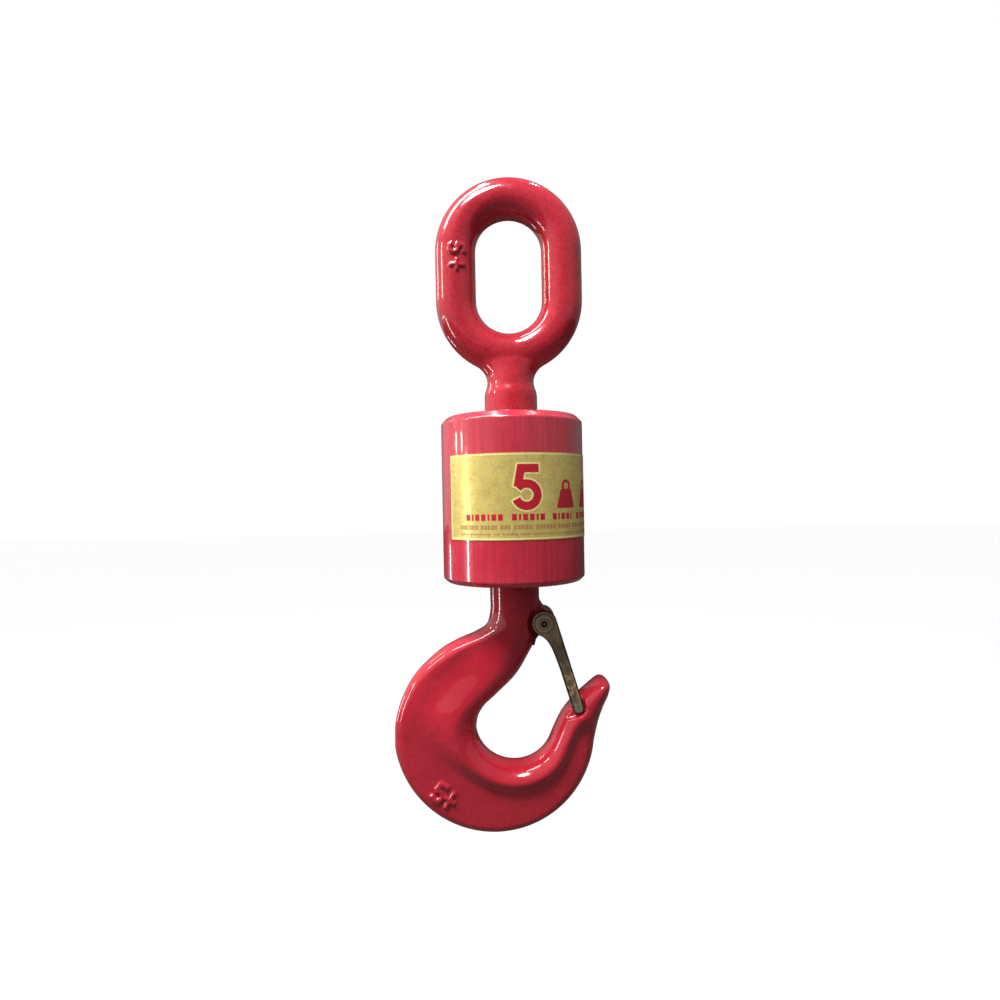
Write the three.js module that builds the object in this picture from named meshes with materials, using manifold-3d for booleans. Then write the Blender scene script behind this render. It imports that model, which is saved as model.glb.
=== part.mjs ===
// Five tonne swivel hook: an oblong load eye and a latched hook that each turn on a thrust bearing
// inside one round housing. Millimetres, +Z up. The origin is the inside top of the eye, where the
// load hangs; +X runs towards the hook's tip and +Y towards its back side.
import * as THREE from 'three'
import { mergeVertices } from 'three/addons/utils/BufferGeometryUtils.js'
import Module from 'manifold-3d'

const wasm = await Module()
wasm.setup()

// ---- driving dimensions -------------------------------------------------------------------------

const gap = 0.3 // clearance between touching pieces

// load eye
const barRadius = 11.5
const eyeInnerRadius = 18.75
const eyeStraight = 28
const neckWaistRadius = 13.15
const neckWaistLevel = -93.3
const eyeShankRadius = 15

// housing
const housingRadius = 40
const housingTop = -113.4
const housingHeight = 92.5
const cavityRadius = 30
const endWall = 11
const topChamfer = 3.7
const bottomChamfer = 2.6
const joinRadius = 35
const joinLength = 12.5
const sealPocketDepth = 4
const sealPocketRadius = 20.2
const bushWall = 2.4
const lockScrewRadius = 3
const lockScrewSocket = 1.6 // from the centre to a corner of its hexagon

// rating label
const labelHeight = 45
const labelThickness = 0.35
const labelCentreOffset = 1.15 // the label's middle above the housing's middle
const labelStart = THREE.MathUtils.degToRad(-56.5)
const labelSpan = THREE.MathUtils.degToRad(240)

// thrust bearing, 52 mm outside and 16 mm high
const bearingRadius = 26
const bearingHeight = 16
const bearingWasher = 5
const housingWasherBore = 16.2
const shaftWasherBore = 15
const ballCount = 12
const ballRadius = 4.5
const pitchRadius = 20.5
const grooveRadius = 4.9
const cageBore = 14.8
const cageRadius = 25.9
const cageThickness = 3.6

// shank ends and nuts
const threadRadius = 13.5
const nutAcrossFlats = 46
const nutHeight = 15
const spigotRadius = 14.7
const crossPinRadius = 3

// hook
const hookShankRadius = 14
const neckBase = -214 // where the round shank starts to spread into the hook
const outerCircle = { x: -13.2, z: -291.6, radius: 57.2, from: 188, to: 354 }
const bowlCircle = { x: -1.6, z: -287.2, radius: 21.7, from: 184, to: 334 }
const tipCircle = { x: 47.9, z: -267.6, radius: 5.3 }
const beadThinning = 1.4 // how much less the half thickness is at the tip than at the shank
const beadDepth = 10.5 // how far the bead's rounding reaches in from the throat
const flankReach = 15.5 // from the throat to the foot of the bead's flank
const webRimDepth = 5.5 // how far the outer rim's rounding reaches in
const webFoot = 8.8 // half thickness of the web beside the bead
const webRim = 7.0 // half thickness of the web at the outer rim
const pocketHalfWidth = 8.6
const eyeRecessHalfWidth = 7.6
const eyeRecessMargin = 1.8
const coilRecessMargin = 0.7

// latch
const pivot = { x: 15.8, z: -229.2 }
const latchTilt = THREE.MathUtils.degToRad(16.6) // the closed latch's outer edge off the vertical
const latchEyeRadius = 7.3
const latchLength = 54
const legInside = 9.5
const sheet = 2
const legInnerEdge = 0.9 // from the pivot to the narrow leg's inner edge
const webFrom = -9 // the latch's web, from the pivot down
const webTo = -42
const latchPinRadius = 2.5
const latchPinStandOff = 1.6 // how far the plain end stands in front of the latch
const latchPinHead = 4.4
const latchWasherRadius = 5.4
const lugHalfWidth = 4.3
const lugRadius = 6.7
const clearOfHook = 30 // farther from the middle plane than any part of the hook
const wireRadius = 0.8
const coilRadius = 4.4

// derived levels
const housingBottom = housingTop - housingHeight
const housingMiddle = housingTop - housingHeight / 2
const sides = 40 // facets round the housing

// ---- materials ----------------------------------------------------------------------------------

const finish = (color, roughness, metalness) => (
  new THREE.MeshStandardMaterial({ color, roughness, metalness })
)
const redPaint = finish(0xb8323f, 0.35, 0.1)
const goldFoil = finish(0xd0c16c, 0.4, 0.5)
const bronzeSteel = finish(0x74675a, 0.45, 0.8)
const bearingSteel = finish(0xb9bcc0, 0.25, 1)
const darkSteel = finish(0x55565a, 0.5, 0.9)
const bronze = finish(0xa9793f, 0.4, 0.9)
const rubber = finish(0x1c1c1e, 0.8, 0)

// ---- solids -------------------------------------------------------------------------------------

function toSolid(geometry) {
  const bare = geometry.clone()
  bare.deleteAttribute('normal')
  bare.deleteAttribute('uv')
  const merged = mergeVertices(bare, 1e-4)
  return new wasm.Manifold(new wasm.Mesh({
    numProp: 3,
    vertProperties: new Float32Array(merged.attributes.position.array),
    triVerts: new Uint32Array(merged.index.array),
  }))
}

function toGeometry(solid) {
  const mesh = solid.getMesh()
  const geometry = new THREE.BufferGeometry()
  geometry.setAttribute('position', new THREE.BufferAttribute(new Float32Array(mesh.vertProperties), 3))
  geometry.setIndex(new THREE.BufferAttribute(new Uint32Array(mesh.triVerts), 1))
  geometry.computeVertexNormals()
  return geometry
}

function cut(geometry, ...tools) {
  return toGeometry(tools.reduce((body, tool) => body.subtract(toSolid(tool)), toSolid(geometry)))
}

function join(...geometries) {
  return toGeometry(geometries.map(toSolid).reduce((body, piece) => body.add(piece)))
}

// A skin over a row of rings with the same number of points, with flat ends or closed on itself.
function loft(rings, closed = false) {
  const size = rings[0].length
  const positions = rings.flat().flatMap((point) => point.toArray())
  const index = []
  const rows = closed ? rings.length : rings.length - 1
  for (let row = 0; row < rows; row += 1) {
    const next = (row + 1) % rings.length
    for (let i = 0; i < size; i += 1) {
      const j = (i + 1) % size
      index.push(row * size + i, row * size + j, next * size + j)
      index.push(row * size + i, next * size + j, next * size + i)
    }
  }
  if (!closed) {
    const last = (rings.length - 1) * size
    for (let i = 1; i < size - 1; i += 1) {
      index.push(0, i + 1, i)
      index.push(last, last + i, last + i + 1)
    }
  }
  const geometry = new THREE.BufferGeometry()
  geometry.setAttribute('position', new THREE.Float32BufferAttribute(positions, 3))
  geometry.setIndex(index)
  return geometry
}

// A body turned about the vertical axis from [radius, z] corners, listed either way round.
function turned(corners, segments = 24) {
  const profile = corners.map(([radius, z]) => new THREE.Vector2(radius, z))
  if (THREE.ShapeUtils.isClockWise(profile)) profile.reverse()
  return new THREE.LatheGeometry([...profile, profile[0]], segments).rotateX(Math.PI / 2)
}

// A plain ring between two radii and two levels.
const ring = (inner, outer, low, high, segments) => turned(
  [[inner, low], [outer, low], [outer, high], [inner, high]], segments)

// A round bar along the line from a to b.
function bar(radius, a, b, segments = 16) {
  const line = new THREE.Vector3().subVectors(b, a)
  const turn = new THREE.Quaternion().setFromUnitVectors(new THREE.Vector3(0, 1, 0), line.clone().normalize())
  const geometry = new THREE.CylinderGeometry(radius, radius, line.length(), segments)
  const middle = new THREE.Vector3().addVectors(a, b).multiplyScalar(0.5)
  return geometry.applyQuaternion(turn).translate(middle.x, middle.y, middle.z)
}

// An outline in the XZ plane, given as a THREE.Shape of (x, z), as a plate from y = near to y = far.
function plate(shape, near, far, curveSegments = 8) {
  const geometry = new THREE.ExtrudeGeometry(shape, { depth: far - near, bevelEnabled: false, curveSegments })
  return geometry.rotateX(Math.PI / 2).translate(0, far, 0)
}

// ---- load eye -----------------------------------------------------------------------------------

const eyeCentreRadius = eyeInnerRadius + barRadius
const eyeUpperCentre = -eyeInnerRadius
const eyeLowerCentre = eyeUpperCentre - eyeStraight
const sectionPoints = 18
const arcSteps = 14

// The oblong ring: two half turns joined by straight limbs.
function eyeLoop() {
  const rings = []
  const halfTurns = [[eyeUpperCentre, 0], [eyeLowerCentre, Math.PI]]
  halfTurns.forEach(([centre, start]) => {
    for (let step = 0; step <= arcSteps; step += 1) {
      const angle = start + (Math.PI * step) / arcSteps
      const outwards = new THREE.Vector3(Math.cos(angle), 0, Math.sin(angle))
      rings.push(Array.from({ length: sectionPoints }, (_, i) => {
        const round = (2 * Math.PI * i) / sectionPoints
        const reach = eyeCentreRadius + barRadius * Math.cos(round)
        return new THREE.Vector3(outwards.x * reach, barRadius * Math.sin(round), outwards.z * reach + centre)
      }))
    }
  })
  return loft(rings, true)
}

// The neck: flattened where it leaves the ring, round at the waist and below it.
function eyeNeck() {
  const bottomOfBar = eyeLowerCentre - eyeCentreRadius
  const stations = [
    { z: bottomOfBar + 3, wide: 25, deep: 9.5 },
    { z: bottomOfBar - 3, wide: 22.5, deep: 11.3 },
    { z: bottomOfBar - 7, wide: 18.6, deep: 11.8 },
    { z: bottomOfBar - 10, wide: 15.6, deep: 12.4 },
    { z: bottomOfBar - 13, wide: 13.8, deep: 12.9 },
    { z: neckWaistLevel, wide: neckWaistRadius, deep: neckWaistRadius },
    { z: neckWaistLevel - 4, wide: 14.0, deep: 14.0 },
    { z: neckWaistLevel - 8, wide: eyeShankRadius, deep: eyeShankRadius },
    { z: housingTop - endWall - 1.5, wide: eyeShankRadius, deep: eyeShankRadius },
  ]
  const neckSides = 32
  const rings = stations.map(({ z, wide, deep }) => Array.from({ length: neckSides }, (_, i) => {
    const round = (-2 * Math.PI * i) / neckSides
    return new THREE.Vector3(wide * Math.cos(round), deep * Math.sin(round), z)
  }))
  return loft(rings)
}

// The two bearings mirror each other about the housing's middle: side is +1 at the eye, -1 at the hook.
const level = (side, depth) => (side > 0 ? housingTop - depth : housingBottom + depth)

const bearingStart = endWall + gap
const nutStart = bearingStart + bearingHeight + gap
const shankEnd = nutStart + nutHeight + 1

// The turned end of a shank, inside the housing, with the cross hole for its locking pin.
function threadedEnd(side) {
  const from = level(side, endWall - 1)
  const to = level(side, shankEnd)
  return bar(threadRadius, new THREE.Vector3(0, 0, from), new THREE.Vector3(0, 0, to), 24)
}

const crossPinLevel = (side) => level(side, nutStart + nutHeight / 2)

function crossHole(side) {
  const z = crossPinLevel(side)
  const reach = nutAcrossFlats
  return bar(crossPinRadius + gap, new THREE.Vector3(-reach, 0, z), new THREE.Vector3(reach, 0, z))
}

const eyeBolt = () => cut(join(eyeLoop(), eyeNeck(), threadedEnd(1)), crossHole(1))

// ---- housing ------------------------------------------------------------------------------------

const lockScrewAngles = { left: THREE.MathUtils.degToRad(-30), right: THREE.MathUtils.degToRad(150) }
const lockScrewLevel = housingMiddle + joinLength / 2

// The radial hole for a lock screw; the angle is measured from the front, towards +X.
function alongRadius(angle, radius, from, to) {
  const outwards = new THREE.Vector3(Math.sin(angle), -Math.cos(angle), 0)
  const at = (distance) => outwards.clone().multiplyScalar(distance).setZ(lockScrewLevel)
  return bar(radius, at(from), at(to), 12)
}

const lockScrewHoles = () => Object.values(lockScrewAngles).map((angle) => alongRadius(
  angle, lockScrewRadius + gap, cavityRadius - 2, housingRadius + 2))

function endProfile(side, shankRadius, chamfer) {
  const bore = shankRadius + gap + bushWall + gap
  return [
    [housingRadius, level(side, chamfer)],
    [housingRadius - chamfer, level(side, 0)],
    [sealPocketRadius, level(side, 0)],
    [sealPocketRadius, level(side, sealPocketDepth)],
    [bore, level(side, sealPocketDepth)],
    [bore, level(side, endWall)],
    [cavityRadius, level(side, endWall)],
  ]
}

function upperShell() {
  const body = turned([
    [housingRadius, housingMiddle],
    ...endProfile(1, eyeShankRadius, topChamfer),
    [cavityRadius, housingMiddle + joinLength + gap],
    [joinRadius, housingMiddle + joinLength + gap],
    [joinRadius, housingMiddle],
  ], sides)
  return cut(body, ...lockScrewHoles())
}

function lowerShell() {
  const shoulder = housingMiddle - gap
  const body = turned([
    [cavityRadius, housingMiddle + joinLength],
    [joinRadius - gap, housingMiddle + joinLength],
    [joinRadius - gap, shoulder],
    [housingRadius, shoulder],
    ...endProfile(-1, hookShankRadius, bottomChamfer),
  ], sides)
  return cut(body, ...lockScrewHoles())
}

// A grub screw with a hexagon socket, flush below the label.
function lockScrew(angle) {
  const outwards = new THREE.Vector3(Math.sin(angle), -Math.cos(angle), 0)
  const body = alongRadius(angle, lockScrewRadius, cavityRadius + 0.5, housingRadius - 0.8)
  const from = outwards.clone().multiplyScalar(housingRadius - 4).setZ(lockScrewLevel)
  const to = outwards.clone().multiplyScalar(housingRadius + 1).setZ(lockScrewLevel)
  return cut(body, bar(lockScrewSocket, from, to, 6))
}

function ratingLabel() {
  const low = housingMiddle + labelCentreOffset - labelHeight / 2
  const inner = housingRadius + gap
  const outer = inner + labelThickness
  const steps = Math.round((labelSpan / (2 * Math.PI)) * sides)
  const rings = Array.from({ length: steps + 1 }, (_, step) => {
    const angle = labelStart + (labelSpan * step) / steps
    const corner = (radius, z) => new THREE.Vector3(Math.sin(angle) * radius, -Math.cos(angle) * radius, z)
    const high = low + labelHeight
    return [corner(inner, high), corner(outer, high), corner(outer, low), corner(inner, low)]
  })
  return loft(rings)
}

// ---- bearings, nuts, bushes and seals -----------------------------------------------------------

const middleOfBearing = bearingStart + bearingHeight / 2

// A bearing washer with its ball groove. The plain face lies at depth start, the groove faces the balls.
function bearingRace(side, bore, outside, start, towardsBalls) {
  const grooveSteps = 5
  const face = start + towardsBalls * bearingWasher
  const reach = Math.abs(middleOfBearing - face)
  const half = Math.acos(reach / grooveRadius)
  const groove = Array.from({ length: grooveSteps }, (_, step) => {
    const angle = -half + (2 * half * step) / (grooveSteps - 1)
    const depth = middleOfBearing - towardsBalls * grooveRadius * Math.cos(angle)
    return [pitchRadius + grooveRadius * Math.sin(angle), depth]
  })
  const corners = [[outside, face], [outside, start], [bore, start], [bore, face], ...groove]
  return turned(corners.map(([radius, depth]) => [radius, level(side, depth)]))
}

const housingWasher = (side) => bearingRace(side, housingWasherBore, bearingRadius, bearingStart, 1)
const shaftWasher = (side) => bearingRace(
  side, shaftWasherBore, bearingRadius - 0.5, bearingStart + bearingHeight, -1)

const ballAngle = (number) => (2 * Math.PI * number) / ballCount

function ballPlace(side, number) {
  const angle = ballAngle(number)
  return [pitchRadius * Math.cos(angle), pitchRadius * Math.sin(angle), level(side, middleOfBearing)]
}

const ball = () => new THREE.SphereGeometry(ballRadius, 8, 6)

function cage(side) {
  const z = level(side, middleOfBearing)
  const low = z - cageThickness / 2
  const body = ring(cageBore, cageRadius, low, low + cageThickness, 36)
  const pockets = Array.from({ length: ballCount }, (_, number) => {
    const [x, y] = ballPlace(side, number)
    const below = new THREE.Vector3(x, y, low - 1)
    const above = new THREE.Vector3(x, y, low + cageThickness + 1)
    return bar(ballRadius + gap, below, above, 12)
  })
  return cut(body, ...pockets)
}

// The nut that carries the shank: a hexagon with a spigot that centres the shaft washer.
function nut(side) {
  const corner = nutAcrossFlats / 2 / Math.cos(Math.PI / 6)
  const onAxis = (depth) => new THREE.Vector3(0, 0, level(side, depth))
  const nutEnd = nutStart + nutHeight
  const tip = nutStart - bearingWasher
  const hexagon = bar(corner, onAxis(nutStart), onAxis(nutEnd), 6)
  const spigot = bar(spigotRadius, onAxis(nutStart + 1), onAxis(tip), 24)
  const bore = bar(threadRadius + gap, onAxis(tip - 5), onAxis(nutEnd + 5), 24)
  return cut(join(hexagon, spigot), bore, crossHole(side))
}

function nutPin(side) {
  const half = nutAcrossFlats / 2 - 0.5
  const z = crossPinLevel(side)
  return bar(crossPinRadius, new THREE.Vector3(-half, 0, z), new THREE.Vector3(half, 0, z))
}

function bush(side, shankRadius) {
  const inner = shankRadius + gap
  const levels = [level(side, endWall), level(side, sealPocketDepth + gap)]
  return ring(inner, inner + bushWall, Math.min(...levels), Math.max(...levels))
}

function seal(side, shankRadius) {
  const levels = [level(side, sealPocketDepth - gap), level(side, 0.4)]
  return ring(shankRadius + gap, sealPocketRadius - gap, Math.min(...levels), Math.max(...levels))
}

// ---- hook ---------------------------------------------------------------------------------------

const flat = (x, z) => new THREE.Vector2(x, z)
const onCircle = (circle, degrees) => {
  const angle = THREE.MathUtils.degToRad(degrees)
  return flat(circle.x + circle.radius * Math.cos(angle), circle.z + circle.radius * Math.sin(angle))
}

function arcPoints(circle, fromDegrees, toDegrees, steps) {
  const turn = (toDegrees - fromDegrees) / steps
  return Array.from({ length: steps + 1 }, (_, i) => onCircle(circle, fromDegrees + turn * i))
}

// Evenly spaced points on a smooth curve through the given ones.
function splinePoints(points, steps) {
  const through = points.map(({ x, y }) => new THREE.Vector3(x, y, 0))
  const curve = new THREE.CatmullRomCurve3(through, false, 'centripetal')
  return curve.getSpacedPoints(steps).map(({ x, y }) => flat(x, y))
}

// The hook's edge on the throat side and its outer edge, leg by leg with matching steps: the shank,
// the back, the bowl, the rise to the tip, and the round of the tip.
const shankSteps = 3
const backSteps = 16
const bowlSteps = 12
const riseSteps = 7
const tipSteps = 5
const hookStart = housingBottom + endWall + 1.5

const shankEdge = (x) => splinePoints([flat(x, hookStart), flat(x, neckBase)], shankSteps).slice(0, -1)

function throatEdge() {
  return [
    ...shankEdge(hookShankRadius),
    ...splinePoints([
      flat(hookShankRadius, neckBase), flat(13.4, -229), flat(11.0, -240.3), flat(7.0, -248),
      flat(0.5, -258.5), flat(-11.0, -269.8), flat(-19.2, -277.6), flat(-22.0, -282.6),
      onCircle(bowlCircle, bowlCircle.from),
    ], backSteps).slice(0, -1),
    ...arcPoints(bowlCircle, bowlCircle.from, bowlCircle.to, bowlSteps).slice(0, -1),
    ...splinePoints([
      onCircle(bowlCircle, bowlCircle.to), flat(21.4, -289), flat(25.6, -281.2), flat(30.7, -275.2),
      flat(37.5, -268.9), onCircle(tipCircle, 130),
    ], riseSteps).slice(0, -1),
    ...arcPoints(tipCircle, 130, 66, tipSteps),
  ]
}

function outerEdge() {
  return [
    ...shankEdge(-hookShankRadius),
    ...splinePoints([
      flat(-hookShankRadius, neckBase), flat(-14.2, -224), flat(-16.2, -230.6), flat(-23.1, -235.2),
      flat(-32.4, -239.0), flat(-40.6, -243.1), flat(-47.6, -248.4), flat(-57.8, -258.6),
      flat(-65.4, -272.2), flat(-69.2, -285), onCircle(outerCircle, outerCircle.from),
    ], backSteps).slice(0, -1),
    ...arcPoints(outerCircle, outerCircle.from, outerCircle.to, bowlSteps).slice(0, -1),
    ...splinePoints([
      onCircle(outerCircle, outerCircle.to), flat(45.2, -291), flat(46.9, -284.4), flat(49.5, -277.4),
      flat(52.2, -271.4), onCircle(tipCircle, 7),
    ], riseSteps).slice(0, -1),
    ...arcPoints(tipCircle, 7, 60, tipSteps),
  ]
}

// How far along the forging a station is, from 0 to 1 over each stretch.
const backEnd = shankSteps + backSteps
const bowlEnd = backEnd + bowlSteps
const riseEnd = bowlEnd + riseSteps
const blend = (value, from, to) => THREE.MathUtils.smoothstep(value, from, to)
const ontoBack = (i) => blend(i, shankSteps, backEnd - 4)
const ontoBowl = (i) => blend(i, backEnd - 3, backEnd + 5)
const ontoNose = (i) => blend(i, bowlEnd + 1, bowlEnd + 3.5)
const ontoTip = (i) => blend(i, bowlEnd - 3, riseEnd)
const { lerp } = THREE.MathUtils

// Half the thickness at a distance s from the throat edge, on a section of the given width: a round
// bead, a flank down to the web, and a rounded rim. On the shank it is a plain half circle.
function halfThickness(s, width, station) {
  const shank = hookShankRadius
  const roundedIn = Math.min(lerp(shank, beadDepth, ontoBowl(station)), width / 2)
  const plainRim = lerp(shank, webRimDepth, ontoBack(station))
  const roundedOut = Math.min(lerp(plainRim, width / 2, ontoNose(station)), width / 2)
  const foot = Math.max(lerp(width * 0.8, Math.min(flankReach, width * 0.62), ontoBowl(station)), roundedIn)
  const roundIn = s < roundedIn ? Math.sqrt(1 - (1 - s / roundedIn) ** 2) : 1
  const roundOut = width - s < roundedOut ? Math.sqrt(1 - (1 - (width - s) / roundedOut) ** 2) : 1
  const bead = shank - beadThinning * ontoTip(station)
  const taper = Math.max(0, s - foot) / (width - foot + 0.01)
  const plainWeb = lerp(shank, lerp(webFoot, webRim, taper), ontoBack(station))
  const web = lerp(plainWeb, bead, ontoNose(station))
  const endShrink = Math.sqrt(Math.min(1, width / (2 * tipCircle.radius)))
  return lerp(bead, web, blend(s, roundedIn * 0.8, foot)) * roundIn * roundOut * endShrink
}

// One cross-section between a point on the throat edge and one on the outer edge.
function hookSection(throat, outer, station) {
  const width = throat.distanceTo(outer)
  const half = 10
  const fractions = Array.from({ length: half + 1 }, (_, i) => (1 - Math.cos((Math.PI * i) / half)) / 2)
  const point = (fraction, towards) => {
    const place = throat.clone().lerp(outer, fraction)
    return new THREE.Vector3(place.x, towards * halfThickness(width * fraction, width, station), place.y)
  }
  const front = fractions.map((fraction) => point(fraction, -1))
  const back = fractions.slice(1, -1).reverse().map((fraction) => point(fraction, 1))
  return [...front, ...back]
}

function hookForging() {
  const throat = throatEdge()
  const outer = outerEdge()
  return loft(throat.map((point, i) => hookSection(point, outer[i], i)))
}

// The lug that the latch turns on, with its web running into the neck.
function latchLug() {
  const shape = new THREE.Shape()
  shape.moveTo(8, neckBase)
  shape.lineTo(13.6, -215.5)
  shape.quadraticCurveTo(15, -220.5, pivot.x + lugRadius * Math.cos(1), pivot.z + lugRadius * Math.sin(1))
  shape.absarc(pivot.x, pivot.z, lugRadius, 1, -1.75, true)
  shape.lineTo(11.4, -239.5)
  shape.lineTo(11.2, -241.2)
  shape.lineTo(6, -242.2)
  shape.lineTo(6, neckBase)
  return plate(shape, -lugHalfWidth, lugHalfWidth)
}

// The two recesses at the tip that the latch legs close into, open towards the throat.
function tipPocket(side) {
  const shape = new THREE.Shape()
  shape.moveTo(18, -284.6)
  shape.lineTo(30, -282.4)
  shape.quadraticCurveTo(38.6, -280.6, 38.6, -276.8)
  shape.quadraticCurveTo(37.6, -271.6, 34.4, -265)
  shape.lineTo(32.6, -258)
  shape.lineTo(18, -258)
  shape.closePath()
  return side < 0 ? plate(shape, -clearOfHook, -pocketHalfWidth) : plate(shape, pocketHalfWidth, clearOfHook)
}

// The round recesses beside the lug: shallow ones for the latch eyes, deeper ones for the coils.
function lugRecess(side) {
  const at = (y) => new THREE.Vector3(pivot.x, side * y, pivot.z)
  return [
    bar(latchEyeRadius + eyeRecessMargin, at(eyeRecessHalfWidth), at(clearOfHook), 28),
    bar(coilRadius + wireRadius + coilRecessMargin, at(lugHalfWidth), at(clearOfHook), 24),
  ]
}

const pinAxis = (y) => new THREE.Vector3(pivot.x, y, pivot.z)

function hook() {
  const recessed = cut(hookForging(), ...lugRecess(-1), ...lugRecess(1), tipPocket(-1), tipPocket(1))
  const whole = join(recessed, latchLug(), threadedEnd(-1))
  return cut(whole, crossHole(-1), bar(latchPinRadius + gap, pinAxis(-clearOfHook), pinAxis(clearOfHook)))
}

// ---- latch --------------------------------------------------------------------------------------

// The latch is drawn with its length down -Z and its outer edge towards +X, then turned into place.
const intoPlace = (geometry) => geometry.rotateY(-latchTilt).translate(pivot.x, 0, pivot.z)

function legShape() {
  const shape = new THREE.Shape()
  const neckAngle = -2.3
  const end = -latchLength
  shape.moveTo(latchEyeRadius, 0)
  shape.lineTo(latchEyeRadius, end + 2.5)
  shape.quadraticCurveTo(latchEyeRadius, end, latchEyeRadius - 2.5, end)
  shape.quadraticCurveTo(legInnerEdge, end + 0.2, legInnerEdge, end + 3.2)
  shape.lineTo(legInnerEdge, -32)
  shape.bezierCurveTo(
    0.2, -14, 0.2, -9, latchEyeRadius * Math.cos(neckAngle), latchEyeRadius * Math.sin(neckAngle))
  shape.absarc(0, 0, latchEyeRadius, neckAngle, -2 * Math.PI, true)
  return shape
}

function latch() {
  const near = plate(legShape(), -legInside - sheet, -legInside)
  const far = plate(legShape(), legInside, legInside + sheet)
  const webShape = new THREE.Shape()
  webShape.moveTo(latchEyeRadius, webFrom)
  webShape.lineTo(latchEyeRadius - sheet * 0.9, webFrom)
  webShape.lineTo(latchEyeRadius - sheet * 0.9, webTo)
  webShape.lineTo(latchEyeRadius, webTo)
  const web = plate(webShape, -legInside - sheet / 2, legInside + sheet / 2)
  const holes = bar(
    latchPinRadius + gap, new THREE.Vector3(0, -clearOfHook, 0), new THREE.Vector3(0, clearOfHook, 0))
  return intoPlace(cut(join(near, far, web), holes))
}

// The pin: a head behind the rear leg and a plain end that stands just proud of the front washer.
function latchPin() {
  const headFrom = legInside + sheet + gap
  return join(
    bar(latchPinRadius, pinAxis(-legInside - sheet - latchPinStandOff), pinAxis(headFrom + 0.5)),
    bar(latchPinHead, pinAxis(headFrom), pinAxis(headFrom + 1.8), 20),
  )
}

function latchWasher() {
  const from = -legInside - sheet - gap
  const disc = bar(latchWasherRadius, pinAxis(from - 0.9), pinAxis(from), 24)
  return cut(disc, bar(latchPinRadius + gap, pinAxis(-clearOfHook), pinAxis(0)))
}

// The double torsion spring: a coil each side of the lug, a bridge against the latch's web, and two
// free ends that press on the hook's neck.
function latchSpring() {
  const coilPitch = 2 * wireRadius + 0.3
  const coilInner = lugHalfWidth + wireRadius + gap
  const startAngle = 215
  const sweep = 575
  const coilSteps = 14
  const coil = (side) => Array.from({ length: coilSteps + 1 }, (_, i) => {
    const angle = THREE.MathUtils.degToRad(startAngle - (sweep * i) / coilSteps)
    const turnsLeft = (sweep * (1 - i / coilSteps)) / 360
    const x = pivot.x + coilRadius * Math.cos(angle)
    const z = pivot.z + coilRadius * Math.sin(angle)
    return new THREE.Vector3(x, side * (coilInner + coilPitch * turnsLeft), z)
  })
  const freeEnd = (side) => new THREE.Vector3(9.7, side * (coilInner + coilPitch * 1.6), -241.5)
  const bridgeCorner = (side) => new THREE.Vector3(23.8, side * coilInner, -241.2)
  const path = new THREE.CatmullRomCurve3([
    freeEnd(-1), ...coil(-1), bridgeCorner(-1), bridgeCorner(1), ...coil(1).reverse(), freeEnd(1),
  ], false, 'centripetal')
  const wire = new THREE.Shape()
  wire.absarc(0, 0, wireRadius, 0, 2 * Math.PI, false)
  const settings = { steps: 80, bevelEnabled: false, extrudePath: path, curveSegments: 3 }
  return new THREE.ExtrudeGeometry(wire, settings)
}

// ---- assembly -----------------------------------------------------------------------------------

const group = new THREE.Group()

function place(name, geometry, material, position = [0, 0, 0]) {
  const mesh = new THREE.Mesh(geometry, material)
  mesh.name = name
  mesh.position.set(...position)
  group.add(mesh)
}

place('eye_bolt', eyeBolt(), redPaint)
place('upper_shell', upperShell(), redPaint)
place('lower_shell', lowerShell(), redPaint)
place('rating_label', ratingLabel(), goldFoil)
place('lock_screw_left', lockScrew(lockScrewAngles.left), darkSteel)
place('lock_screw_right', lockScrew(lockScrewAngles.right), darkSteel)

const swivels = [
  { prefix: 'eye', side: 1, shankRadius: eyeShankRadius },
  { prefix: 'hook', side: -1, shankRadius: hookShankRadius },
]
swivels.forEach(({ prefix, side, shankRadius }) => {
  place(`${prefix}_seal`, seal(side, shankRadius), rubber)
  place(`${prefix}_bush`, bush(side, shankRadius), bronze)
  place(`${prefix}_housing_washer`, housingWasher(side), bearingSteel)
  place(`${prefix}_shaft_washer`, shaftWasher(side), bearingSteel)
  place(`${prefix}_cage`, cage(side), bronze)
  place(`${prefix}_nut`, nut(side), darkSteel)
  place(`${prefix}_nut_pin`, nutPin(side), darkSteel)
  for (let number = 0; number < ballCount; number += 1) {
    const label = String(number + 1).padStart(2, '0')
    place(`${prefix}_ball_${label}`, ball(), bearingSteel, ballPlace(side, number))
  }
})

place('hook', hook(), redPaint)
place('latch', latch(), bronzeSteel)
place('latch_pin', latchPin(), darkSteel)
place('latch_washer', latchWasher(), bronzeSteel)
place('latch_spring', latchSpring(), bearingSteel)

export default group
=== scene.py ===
from itertools import accumulate
from math import acos, ceil, cos, floor, pi, radians, sin, sqrt

import bmesh
import bpy
from mathutils import Matrix, Vector


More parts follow.
